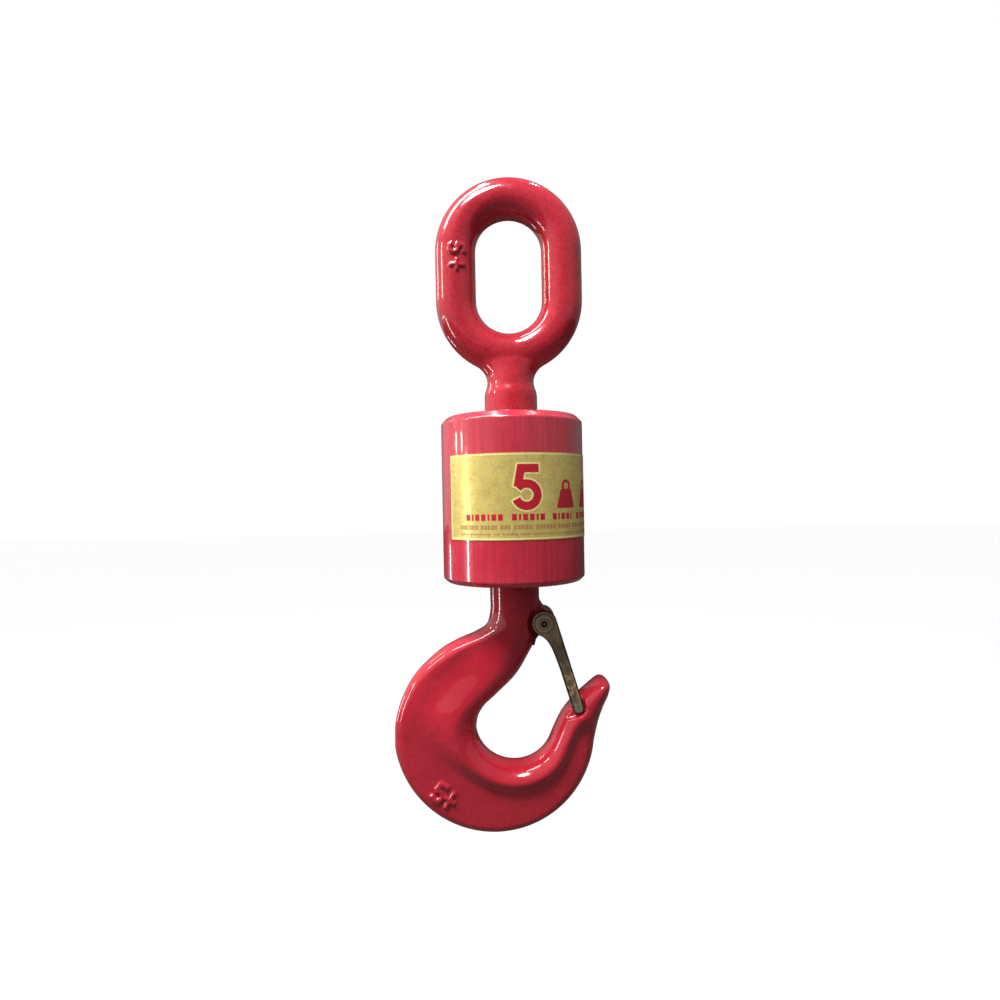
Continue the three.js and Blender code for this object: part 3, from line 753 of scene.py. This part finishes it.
def wrapped(thing, lift):
    """Bends a flat mesh (x along the label from its left edge, z up, y depth) round the housing."""
    mesh = bmesh.new()
    mesh.from_mesh(thing.data)
    xs = [v.co.x / MM for v in mesh.verts]
    for place in range(floor(min(xs)) + 1, ceil(max(xs))):
        everything = mesh.verts[:] + mesh.edges[:] + mesh.faces[:]
        bmesh.ops.bisect_plane(
            mesh, geom=everything, plane_co=(place * MM, 0, 0), plane_no=(1, 0, 0), dist=1e-7)
    for vertex in mesh.verts:
        x, y, z = vertex.co / MM
        angle = LABEL_START + x / HOUSING_RADIUS
        vertex.co = outwards(angle, LABEL_RADIUS + lift - y, z) * MM
    mesh.to_mesh(thing.data)
    mesh.free()
    thing.data.shade_smooth()
    return crisp(face_outwards(thing), 40)


def flat_patch(name, left, right, low, high, corner=0.0, thick=INK):
    outline = softened([(left, low), (right, low), (right, high), (left, high)], corner, 6 if corner else 1)
    return plate(name, outline, -thick, 0)


def joined(name, things):
    """Several objects as one, without a boolean."""
    mesh = bmesh.new()
    for thing in things:
        mesh.from_mesh(thing.data)
        bpy.data.objects.remove(thing)
    return from_bmesh(name, mesh)


def along_label(degrees):
    """The distance along the label to an angle from the front."""
    return (radians(degrees) - LABEL_START) * HOUSING_RADIUS


def weight_pictogram(left, low, height):
    """A generic weight: a trapezoid block with a ring on top."""
    width = height * 0.9
    shoulder = low + height * 0.66
    block = [(left, low), (left + width, low),
             (left + width * 0.8, shoulder), (left + width * 0.2, shoulder)]
    block = plate("weight_block", softened(block, 0.6, 3), -INK, 0)
    middle = (left + width / 2, low + height * 0.78)
    outer, inner = ([polar(*middle, height * share, a) for a in turn(32)] for share in (0.22, 0.12))
    return [block, cut(plate("weight_ring", outer, -INK, 0), plate("weight_hole", inner, -1, 1))]


def block_row(low, height, start, end, word_lengths, pitch):
    """Words of plain upright blocks where print would be, with a narrow block between each two wide ones."""
    blocks = []
    x, word = start, 0
    while x < end:
        for letter in range(word_lengths[word % len(word_lengths)]):
            width = pitch * (0.3 if letter % 3 == 1 else 0.68)
            if x + width < end:
                blocks.append(flat_patch("block", x, x + width, low, low + height))
            x += width + pitch * 0.3
        x += pitch
        word += 1
    return blocks


def label_border(length):
    """Four strips just inside the label's edges."""
    edge, line = 0.3, 0.9
    left, right, low, high = edge, length - edge, LABEL_LOW + edge, LABEL_HIGH - edge
    boxes = ((left, right, high - line, high), (left, right, low, low + line),
             (left, left + line, low + line, high - line), (right - line, right, low + line, high - line))
    return [flat_patch("border", *box) for box in boxes]


def make_label():
    """The foil, the numeral 5 with its pale outline, a border, two weights and rows of blocks."""
    length = LABEL_SPAN * HOUSING_RADIUS
    label = flat_patch("rating_label_foil", 0, length, LABEL_LOW, LABEL_HIGH, 0.5, LABEL_THICK)
    dress(wrapped(label, 0), GOLD, "housing", "gold_foil", "rating_label")
    figure_place = shift(along_label(FIGURE_AT), 0, LABEL_FIGURE_LOW + LABEL_FIGURE_HEIGHT / 2)
    halo = moved(figure_five("label_figure_halo", LABEL_FIGURE_HEIGHT, -INK, 0, grow=0.9), figure_place)
    dress(wrapped(halo, LABEL_THICK), PALE_INK, "housing", "gold_foil")
    numeral = moved(figure_five("label_figure", LABEL_FIGURE_HEIGHT, -INK, 0), figure_place)
    dress(wrapped(numeral, LABEL_THICK + INK), RED_INK, "housing", "red_paint")

    start, end = along_label(ROWS_AT), length - 8
    marks = []
    for angle in WEIGHTS_AT:
        marks += weight_pictogram(along_label(angle), LABEL_FIGURE_LOW + 0.6, LABEL_WEIGHT_HEIGHT)
    marks += block_row(LABEL_LOW + 10.2, 3.3, start, end, word_lengths=(7, 6, 5), pitch=3.6)
    small = block_row(LABEL_LOW + 5.6, 2.3, start - 4, end, word_lengths=(9, 7, 4, 8), pitch=1.5)
    small += block_row(LABEL_LOW + 2.8, 0.8, start - 4, end, word_lengths=(5, 11, 3, 7), pitch=1.3)
    for name, patches, ink, slot in (("label_border", label_border(length), PALE_INK, "gold_foil"),
                                     ("label_marks", marks, RED_INK, "red_paint"),
                                     ("label_small_marks", small, BROWN_INK, "gold_foil")):
        dress(wrapped(joined(name, patches), LABEL_THICK), ink, "housing", slot)


# ---- bearings, nuts, bushes and seals ----

HOUSING_RACE_BORE = 16.2
SHAFT_RACE_BORE = 15.0
SPIGOT_RADIUS = 14.7
CAGE_INSIDE = 14.8
CAGE_OUTSIDE = 25.8
NUT_CHAMFER = 2.4
NUT_CHAMFER_HEIGHT = 2.6


def box_profile(inner, outer, low, high, radius):
    return softened([(inner, low), (outer, low), (outer, high), (inner, high)], radius)


def race_profile(side, bore, outside, start, towards_balls):
    """A bearing ring with a flat back and, on the side towards the balls, a round groove."""
    face = start + towards_balls * WASHER_HEIGHT
    half = acos(abs(MIDDLE_OF_BEARING - face) / GROOVE_RADIUS)
    corners = softened([(outside, face), (outside, start), (bore, start), (bore, face)], hold=0)
    groove = []
    for i in range(13):
        angle = -half + 2 * half * i / 12
        groove.append((PITCH_RADIUS + GROOVE_RADIUS * sin(angle),
                       MIDDLE_OF_BEARING - towards_balls * GROOVE_RADIUS * cos(angle)))
    return [(r, level(side, depth)) for r, depth in corners + groove]


def make_bearing(body, side):
    """The two rings, the balls and their cage on one shank; the body is eye or hook."""
    far_side = BEARING_START + BEARING_HEIGHT
    races = (("housing", HOUSING_RACE_BORE, BEARING_RADIUS, BEARING_START, 1, "housing"),
             ("shaft", SHAFT_RACE_BORE, BEARING_RADIUS - 0.5, far_side, -1, body))
    for kind, bore, outside, start, towards_balls, rider in races:
        race = turned(f"{body}_{kind}_race", race_profile(side, bore, outside, start, towards_balls))
        dress(crisp(race), GROUND_STEEL, rider, "bearing_steel", f"{body}_{kind}_washer")

    middle = level(side, MIDDLE_OF_BEARING)
    cage = body + "_cage"
    ring = turned(cage + "_ring", box_profile(CAGE_INSIDE, CAGE_OUTSIDE, *cad_span(cage, 2), 0.3))
    pockets = []
    for number, angle in enumerate(turn(BALL_COUNT), start=1):
        x, y = PITCH_RADIUS * cos(angle), PITCH_RADIUS * sin(angle)
        pockets.append(rod("pocket", BALL_RADIUS + GAP, (x, y, middle - 6), (x, y, middle + 6)))
        node = f"{body}_ball_{number:02d}"
        dress(steel_ball(node + "_round", (x, y, middle)), GROUND_STEEL, cage, "bearing_steel", node)
    dress(crisp(cut(ring, *pockets)), BRONZE, cage, "bronze", cage)


def steel_ball(name, centre):
    mesh = bmesh.new()
    bmesh.ops.create_icosphere(mesh, subdivisions=4, radius=BALL_RADIUS * MM)
    bmesh.ops.translate(mesh, verts=mesh.verts, vec=Vector(centre) * MM)
    return from_bmesh(name, mesh)


def make_nut(body, side):
    """A round-cornered nut with a spigot that centres the bearing's ring, and the cross pin through it."""
    corner = NUT_FLATS / 2 / cos(pi / 6)
    nut = shank_rod(body + "_nut_body", corner, side, NUT_START, NUT_END, chamfer=0.01, sides=6)
    outside = corner + 0.2
    inside = outside - NUT_CHAMFER
    ends = sorted((level(side, NUT_START), level(side, NUT_END)))
    low, high = ends[0] - 1, ends[1] + 1
    rounder = turned("rounder", [
        (0.01, low), (inside, low), (outside, low + NUT_CHAMFER_HEIGHT),
        (outside, high - NUT_CHAMFER_HEIGHT), (inside, high), (0.01, high)], 96)
    combine(nut, [rounder], "INTERSECT")
    tip = NUT_START - WASHER_HEIGHT
    join(nut, shank_rod("spigot", SPIGOT_RADIUS, side, NUT_START + 1, tip))
    cut(nut, shank_rod("bore", THREAD_RADIUS + GAP, side, tip - 5, NUT_END + 5), cross_hole(side))
    dress(crisp(nut, 28), BLACK_STEEL, body, "dark_steel", body + "_nut")
    half, z = NUT_FLATS / 2 - 0.5, level(side, NUT_START + NUT_HEIGHT / 2)
    pin = crisp(rod(body + "_nut_cross_pin", CROSS_PIN_RADIUS, (-half, 0, z), (half, 0, z), 0.6))
    dress(pin, BRIGHT_STEEL, body, "dark_steel", body + "_nut_pin")


def make_guides(body, side, shank):
    """The bush and the lip seal in the housing's end wall, round one shank."""
    inner = shank + GAP
    bush = turned(body + "_bush_sleeve", box_profile(
        inner, inner + BUSH_WALL, level(side, END_WALL), level(side, SEAL_DEPTH + GAP), 0.4))
    dress(crisp(bush), BRONZE, "housing", "bronze", body + "_bush")
    outside = SEAL_RADIUS - GAP
    base, face = level(side, SEAL_DEPTH - GAP), level(side, 0.4)
    lip, dip = level(side, 0.9), level(side, 1.7)
    seal = turned(body + "_seal_ring", softened([
        (inner, base), (outside, base), (outside, face), (outside - 1.4, face),
        (outside - 2.2, dip), (inner + 1.5, dip), (inner + 0.7, lip), (inner, lip)], 0.35))
    dress(crisp(seal), RUBBER, "housing", "rubber", body + "_seal")


# ---- hook ----

# Circles are (x, z, radius), and a stretch of one runs from an angle to an angle, in degrees.
OUTER_CIRCLE, OUTER_STRETCH = (-13.2, -291.6, 57.2), (188, 354)
BOWL_CIRCLE, BOWL_STRETCH = (-1.6, -287.2, 21.7), (184, 334)
TIP_CIRCLE, TIP_INSIDE, TIP_OUTSIDE = (47.9, -267.6, 5.3), (130, 66), (7, 60)
BEAD_THINNING = 1.4
WEB_FOOT = 8.8
WEB_RIM = 7.0
FINER = 5
SHANK_STEPS, BACK_STEPS, BOWL_STEPS, RISE_STEPS, TIP_STEPS = (FINER * n for n in (3, 16, 12, 7, 5))
BACK_END = SHANK_STEPS + BACK_STEPS
BOWL_END = BACK_END + BOWL_STEPS
RISE_END = BOWL_END + RISE_STEPS
HOOK_START = HOUSING_BOTTOM + END_WALL + THREAD_RELIEF
SHANK_FOOT = -214


def hook_edge(shank_x, back, circle, stretch, rise, tip_stretch):
    """One edge of the forging, from the shank round the back, the circle and the nose to the tip."""
    back = [(shank_x, SHANK_FOOT), *back, on_circle(circle, stretch[0])]
    rise = [on_circle(circle, stretch[1]), *rise, on_circle(TIP_CIRCLE, tip_stretch[0])]
    return (spline([(shank_x, HOOK_START), (shank_x, SHANK_FOOT)], SHANK_STEPS)[:-1]
            + spline(back, BACK_STEPS)[:-1] + arc(circle, *stretch, BOWL_STEPS)[:-1]
            + spline(rise, RISE_STEPS)[:-1] + arc(TIP_CIRCLE, *tip_stretch, TIP_STEPS))


def throat_edge():
    back = [(13.4, -229), (11.0, -240.3), (7.0, -248), (0.5, -258.5), (-11.0, -269.8), (-19.2, -277.6),
            (-22.0, -282.6)]
    rise = [(21.4, -289), (25.6, -281.2), (30.7, -275.2), (37.5, -268.9)]
    return hook_edge(HOOK_SHANK_RADIUS, back, BOWL_CIRCLE, BOWL_STRETCH, rise, TIP_INSIDE)


def outer_edge():
    back = [(-14.2, -224), (-16.2, -230.6), (-23.1, -235.2), (-32.4, -239.0), (-40.6, -243.1),
            (-47.6, -248.4), (-57.8, -258.6), (-65.4, -272.2), (-69.2, -285)]
    rise = [(45.2, -291), (46.9, -284.4), (49.5, -277.4), (52.2, -271.4)]
    return hook_edge(-HOOK_SHANK_RADIUS, back, OUTER_CIRCLE, OUTER_STRETCH, rise, TIP_OUTSIDE)


def quarter_round(distance, depth):
    """How far a rounded edge has risen, from 0 at the edge to 1 at its full depth."""
    return sqrt(max(0, 1 - (1 - distance / depth) ** 2)) if distance < depth else 1


def half_thickness(s, width, station):
    """Half the thickness at a distance from the throat edge: a round bead, a flank down to the web,
    and a rounded rim. On the shank it is a plain half circle."""
    onto_back = smoothstep(station, SHANK_STEPS, BACK_END - 4 * FINER)
    onto_bowl = smoothstep(station, BACK_END - 3 * FINER, BACK_END + 5 * FINER)
    onto_nose = smoothstep(station, BOWL_END + FINER, BOWL_END + 3.5 * FINER)
    onto_tip = smoothstep(station, BOWL_END - 3 * FINER, RISE_END)
    bead_depth = min(mix(HOOK_SHANK_RADIUS, 10.5, onto_bowl), width / 2)
    rim_depth = min(mix(mix(HOOK_SHANK_RADIUS, 5.5, onto_back), width / 2, onto_nose), width / 2)
    flank_end = max(mix(width * 0.8, min(15.5, width * 0.62), onto_bowl), bead_depth)
    bead = HOOK_SHANK_RADIUS - BEAD_THINNING * onto_tip
    taper = max(0, s - flank_end) / (width - flank_end + 0.01)
    web = mix(mix(HOOK_SHANK_RADIUS, mix(WEB_FOOT, WEB_RIM, taper), onto_back), bead, onto_nose)
    end_shrink = sqrt(min(1, width / (2 * TIP_CIRCLE[2])))
    plain = mix(bead, web, smoothstep(s, bead_depth * 0.8, flank_end + 0.01))
    return plain * quarter_round(s, bead_depth) * quarter_round(width - s, rim_depth) * end_shrink


def hook_section(throat, outer, station):
    """One closed section between a point on the throat edge and one on the outer edge."""
    width = (outer - throat).length
    half = 32
    front, back = [], []
    for i in range(half + 1):
        fraction = (1 - cos(pi * i / half)) / 2
        y = half_thickness(width * fraction, width, station)
        place = throat.lerp(outer, fraction)
        front.append((place.x, -y, place.y))
        if 0 < i < half:
            back.append((place.x, y, place.y))
    return front + back[::-1]


def pivot_rod(name, radius, start, end, chamfer=0.4, sides=48):
    """A round bar on the latch pin's line, from y = start to y = end."""
    return rod(name, radius, (PIVOT.x, start, PIVOT.z), (PIVOT.x, end, PIVOT.z), chamfer, sides)


def latch_lug():
    """The boss that the latch's pin goes through; its round runs from 1 radian down to -1.75."""
    upper = polar(PIVOT.x, PIVOT.z, LUG_RADIUS, 1)
    outline = [Vector((6, SHANK_FOOT)), Vector((8, SHANK_FOOT))]
    outline += bend(Vector((13.6, -215.5)), Vector((15.0, -220.5)), upper, 8)
    outline += [polar(PIVOT.x, PIVOT.z, LUG_RADIUS, 1 - 2.75 * i / 24) for i in range(1, 25)]
    outline += [(11.4, -239.5), (11.2, -241.2), (6, -242.2)]
    return plate("latch_lug", outline, -LUG_HALF, LUG_HALF)


def tip_pocket(side):
    """What is cut from one side of the nose, so that a leg of the latch can close against it."""
    low, turn_in, high = Vector((30, -282.4)), Vector((38.6, -276.8)), Vector((34.4, -265))
    outline = [Vector((18, -284.6)), *bend(low, Vector((38.6, -280.6)), turn_in, 8)]
    outline += bend(turn_in, Vector((37.6, -271.6)), high, 8)[1:]
    outline += [(32.6, -258), (18, -258)]
    near, far = (-CLEAR, -POCKET_HALF) if side < 0 else (POCKET_HALF, CLEAR)
    return plate("tip_pocket", outline, near, far)


def lug_recesses():
    """Round the latch's eyes and the spring's coils, from the lug outwards."""
    eye, coil = LATCH_EYE_RADIUS + 1.8, COIL_RADIUS + WIRE_RADIUS + 0.7
    tools = []
    for side in (-1, 1):
        tools.append(pivot_rod("eye_recess", eye, side * EYE_RECESS_HALF, side * CLEAR, 0.01, 96))
        tools.append(pivot_rod("coil_recess", coil, side * LUG_HALF, side * CLEAR, 0.01, 96))
    return tools


def hook_marks():
    """Raised marks on the web's lower left, leaning with the curve."""
    near, far = -9.3, -6
    lean = Matrix.Rotation(radians(33), 4, "Y")
    return [moved(figure_five("hook_figure", 11.6, near, far), shift(-44.5, 0, -323.3) @ lean),
            moved(cross_mark("hook_cross", 10.5, near, far), shift(-38.6, 0, -327.6) @ lean)]


def make_hook():
    edges = zip(throat_edge(), outer_edge())
    hook = loft("hook_forging", [hook_section(throat, outer, i) for i, (throat, outer) in enumerate(edges)])
    face_outwards(hook)
    cut(hook, *lug_recesses(), tip_pocket(-1), tip_pocket(1))
    join(hook, latch_lug(), threaded_end(-1, "hook_thread"), *hook_marks())
    cut(hook, cross_hole(-1), pivot_rod("pin_hole", LATCH_PIN_RADIUS + GAP, -20, 20))
    fused(hook, voxel=0.66, rounds=5)
    dress(hook, HOOK_RED, "hook", "red_paint", "hook")


# ---- latch ----

def into_place(thing):
    """From the latch's own drawing, with its length down -Z, to where it sits closed."""
    return moved(thing, shift(*PIVOT) @ Matrix.Rotation(-LATCH_TILT, 4, "Y"))


def bezier(a, b, c, d, steps):
    a, b, c, d = Vector(a), Vector(b), Vector(c), Vector(d)
    return [a * (1 - t) ** 3 + b * 3 * t * (1 - t) ** 2 + c * 3 * t * t * (1 - t) + d * t ** 3
            for t in (i / steps for i in range(1, steps + 1))]


def leg_outline():
    """The latch from its side: an eye round the pin, a waist and a rounded end. Its pin is at (0, 0)."""
    r, inner, end = LATCH_EYE_RADIUS, LEG_INNER_EDGE, -LATCH_LENGTH
    neck = -2.3
    outline = [Vector((r, 0)), Vector((r, end + 3.2))]
    outline += bezier((r, end + 3.2), (r, end + 1), (r - 1, end), (r - 3, end), 8)
    outline += bezier((r - 3, end), (inner + 1, end), (inner, end + 1), (inner, end + 3.2), 8)
    outline += [Vector((inner, -32))]
    outline += bezier((inner, -32), (0.2, -14), (0.2, -9), polar(0, 0, r, neck), 16)
    sweep = 2 * pi + neck
    outline += [polar(0, 0, r, neck - sweep * i / 40) for i in range(1, 40)]
    return outline


def inset(outline, amount):
    """The same outline moved inwards; it is listed with its inside on the right."""
    count = len(outline)
    moved_in = []
    for i, point in enumerate(outline):
        along = (outline[(i + 1) % count] - outline[i - 1]).normalized()
        moved_in.append(point + Vector((along.y, -along.x)) * amount)
    return moved_in


def pressed_leg(name, inside, outside):
    """A leg with its outer face's edges rolled down, as a press tool leaves them."""
    outline = leg_outline()
    stages = ((outline, inside), (outline, mix(inside, outside, 0.5)), (inset(outline, 0.9), outside))
    return face_outwards(loft(name, [[(x, y, z) for x, z in points] for points, y in stages]))


def make_latch():
    latch = pressed_leg("latch_channel", -LEG_INSIDE, -LEG_INSIDE - SHEET)
    far_leg = pressed_leg("far_leg", LEG_INSIDE, LEG_INSIDE + SHEET)
    face, back = LATCH_EYE_RADIUS, LATCH_EYE_RADIUS - SHEET * 0.9
    web_half = LEG_INSIDE + SHEET / 2
    web = plate("latch_web", [(face, -9), (back, -9), (back, -42), (face, -42)], -web_half, web_half)
    join(latch, far_leg, web)
    cut(latch, rod("pivot_hole", LATCH_PIN_RADIUS + GAP, (0, -20, 0), (0, 20, 0)))
    fused(latch, voxel=0.24, rounds=6)
    dress(into_place(latch), LATCH_STEEL, "latch", "latch_steel", "latch")


def make_latch_pin():
    """The pin, headed at the back and peened at the front, where its rim and centre are worn bright."""
    head, front = LEG_INSIDE + SHEET + GAP, -LEG_INSIDE - SHEET - 1.6
    head_radius, head_height = 4.4, 1.8
    centre_radius, groove_radius, bright = 0.85, 2.0, front - 0.05
    pin = pivot_rod("latch_rivet", LATCH_PIN_RADIUS, front, head + 0.5, chamfer=0.7)
    join(pin, pivot_rod("head", head_radius, head, head + head_height, chamfer=0.8))
    groove = pivot_rod("groove", groove_radius, front - 1, front + 1.5, chamfer=0.1)
    cut(pin, cut(groove, pivot_rod("stub", centre_radius, front - 2, front + 2, chamfer=0.1)))
    dress(crisp(pin), BLACK_STEEL, "hook", "dark_steel", "latch_pin")
    centre = pivot_rod("latch_rivet_centre", centre_radius - 0.15, bright, front + 1, chamfer=0.2)
    dress(crisp(centre), LATCH_STEEL, "hook", "dark_steel")
    rim = pivot_rod("latch_rivet_rim", LATCH_PIN_RADIUS + 0.2, bright, front + 0.6, chamfer=0.2)
    cut(rim, pivot_rod("rim_hole", groove_radius - 0.2, front - 1, front + 2, chamfer=0.1))
    dress(crisp(rim), LATCH_STEEL, "hook", "dark_steel")


def make_latch_washer():
    back = -LEG_INSIDE - SHEET - GAP
    washer = pivot_rod("latch_pin_washer", 5.4, back - 0.9, back, chamfer=0.35, sides=80)
    cut(washer, pivot_rod("hole", LATCH_PIN_RADIUS + GAP, -20, 0))
    dress(crisp(washer), LATCH_STEEL, "hook", "latch_steel", "latch_washer")


def spring_path():
    """Free end, coil, bridge against the latch's web, coil, free end."""
    pitch = 2 * WIRE_RADIUS + 0.3
    inner = LUG_HALF + WIRE_RADIUS + GAP
    start_angle, sweep, steps = 215, 575, 14

    def coil(side):
        places = []
        for i in range(steps + 1):
            x, z = polar(PIVOT.x, PIVOT.z, COIL_RADIUS, radians(start_angle - sweep * i / steps))
            left = sweep * (1 - i / steps) / 360
            places.append(Vector((x, side * (inner + pitch * left), z)))
        return places

    def free_end(side):
        return Vector((9.7, side * (inner + pitch * 1.6), -241.5))

    def bridge(side):
        return Vector((23.8, side * inner, -241.2))

    return [free_end(-1), *coil(-1), bridge(-1), bridge(1), *reversed(coil(1)), free_end(1)]


def make_spring():
    """The torsion spring as one round wire, in place of the CAD spring."""
    curve = bpy.data.curves.new("latch_torsion_spring", "CURVE")
    curve.dimensions = "3D"
    curve.bevel_depth = WIRE_RADIUS * MM
    curve.bevel_resolution = 4
    curve.use_fill_caps = True
    curve.resolution_u = 8
    points = spring_path()
    line = curve.splines.new("NURBS")
    line.points.add(len(points) - 1)
    for place, point in zip(points, line.points):
        point.co = (*(place * MM), 1)
    line.order_u = 4
    line.use_endpoint_u = True
    wire = linked("wire", curve)
    graph = bpy.context.evaluated_depsgraph_get()
    spring = linked("latch_torsion_spring", bpy.data.meshes.new_from_object(wire.evaluated_get(graph)))
    bpy.data.objects.remove(wire)
    spring.data.shade_smooth()
    spring.data.materials.append(BLACK_STEEL)
    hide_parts("latch_spring")
    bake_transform(spring)


# ---- stage, light and camera ----

AXIS_DISTANCE = 380.0
EYE_LEVEL = -160.2
CAMERA_OFFSET = -7.3
OBJECT_LEAN = radians(1.1)
FOCAL = 23.94
SENSOR = 36.0


def make_camera():
    camera = linked("camera", bpy.data.cameras.new("camera"))
    camera.data.lens = FOCAL
    camera.data.sensor_width = SENSOR
    camera.data.clip_start = 0.01
    camera.location = Vector((CAMERA_OFFSET, -AXIS_DISTANCE, EYE_LEVEL)) * MM
    camera.rotation_euler = (pi / 2, OBJECT_LEAN, 0)
    bpy.context.scene.camera = camera


def make_floor():
    """A floor that lights the object faintly from below, and that the camera sees as nearly white."""
    s = Shading("pale_floor", (246, 246, 246))
    s.stain(s.range(s.noise(180, 3), 0.3, 0.7), (250, 250, 250))
    s.stain(0.95, (46, 46, 46))
    material = s.finish(1.0)
    seen = s.times(s.node("ShaderNodeLightPath").outputs["Is Camera Ray"], 0.93)
    glow = s.node("ShaderNodeEmission", {"Color": (1, 1, 1, 1), "Strength": seen})
    both = s.node("ShaderNodeAddShader", {0: s.shader.outputs["BSDF"], 1: glow.outputs["Emission"]})
    s.feed(s.tree.nodes["Material Output"], {"Surface": both.outputs["Shader"]})
    size, z = 6000, HOUSING_BOTTOM - 260
    corners = [(-size, -size, z), (size, -size, z), (size, size, z), (-size, size, z)]
    ground = mesh_object("floor", corners, [(0, 1, 2, 3)])
    ground.data.materials.append(material)


def area_light(name, place, width, height, watts, tint=(1, 1, 1)):
    """A softbox at a place in metres that looks at the housing; its height runs as upright as it can."""
    light = bpy.data.lights.new(name, "AREA")
    light.shape = "RECTANGLE"
    light.size, light.size_y = width, height
    light.energy = watts
    light.color = tint
    thing = linked(name, light)
    thing.location = place
    towards = Vector((0, 0, EYE_LEVEL * MM)) - Vector(place)
    thing.rotation_mode = "QUATERNION"
    thing.rotation_quaternion = towards.to_track_quat("-Z", "Y")


def around(azimuth, distance, z):
    """A place in metres at an azimuth from the camera's side, positive towards +X."""
    angle = radians(azimuth)
    return (sin(angle) * distance, -cos(angle) * distance, z)


# How bright the room is at its darkest, and how much brighter towards its left, front, right and ceiling.
ROOM_DARKEST = 0.01
ROOM_WALLS = (((-1, 0, 0), 0.65), ((0, -1, 0), 0.16), ((1, 0, 0), 0.24), ((0, 0, 1), 0.16))

# Narrow windows beside the object: azimuth, height, size, power and tint.
WINDOWS = (
    ("eye_window", -80, 0.29, 0.05, 0.18, 0.9, (1.0, 0.93, 0.85)),
    ("eye_gap", -119, 0.29, 0.03, 0.18, 0.5, (1.0, 0.8, 0.55)),
    ("upper_window", -86, -0.052, 0.04, 0.036, 0.16, (1.0, 0.88, 0.7)),
    ("upper_gap", -99, -0.052, 0.03, 0.036, 0.13, (1.0, 0.88, 0.7)),
    ("side_window", -77, -0.24, 0.055, 0.34, 1.1, (1, 1, 1)),
    ("side_gap", -123, -0.344, 0.03, 0.206, 0.34, (1, 1, 1)),
)

# Lights above the object: place, width, height and power.
SOFTBOXES = (
    ("key_softbox", around(-25, 0.7, 1.0), 0.40, 0.30, 23),
    ("overhead_softbox", (-0.55, -0.08, 0.85), 0.28, 0.85, 10),
    ("left_downlight", (-0.213, 0.19, 0.84), 0.045, 0.045, 1.0),
    ("right_downlight", (0.253, 0.20, 0.82), 0.045, 0.045, 1.0),
)


def make_light():
    for softbox in SOFTBOXES:
        area_light(*softbox)
    for name, azimuth, z, width, height, watts, tint in WINDOWS:
        area_light(name, around(azimuth, 0.9, z), width, height, watts, tint)


def make_room():
    """The world: pale walls for the object to reflect, and plain white for the camera to see."""
    world = bpy.data.worlds.new("studio")
    bpy.context.scene.world = world
    world.use_nodes = True
    n = Nodes(world.node_tree)
    where = n.node("ShaderNodeTexCoord").outputs["Generated"]
    strength = ROOM_DARKEST
    for wall, added in ROOM_WALLS:
        towards = n.node("ShaderNodeVectorMath", {0: where, 1: wall}, operation="DOT_PRODUCT")
        strength = n.plus(n.range(towards.outputs["Value"], 0, 1, 0, added), strength)
    room = n.tree.nodes["Background"]
    n.feed(room, {"Color": (1.0, 0.98, 0.98, 1), "Strength": strength})
    white = n.node("ShaderNodeBackground", {"Color": (1, 1, 1, 1)})
    seen = n.node("ShaderNodeLightPath").outputs["Is Camera Ray"]
    choose = n.node("ShaderNodeMixShader", {
        "Fac": seen, 1: room.outputs["Background"], 2: white.outputs["Background"]})
    n.feed(n.tree.nodes["World Output"], {"Surface": choose.outputs["Shader"]})


# ---- the whole object ----

make_camera()
make_floor()
make_light()
make_room()
make_eye()
make_shells()
make_lock_screws()
make_label()
for body, side, shank in (("eye", 1, EYE_SHANK_RADIUS), ("hook", -1, HOOK_SHANK_RADIUS)):
    make_bearing(body, side)
    make_nut(body, side)
    make_guides(body, side, shank)
make_hook()
make_latch()
make_latch_pin()
make_latch_washer()
make_spring()
bpy.context.scene.view_settings.view_transform = "Standard"
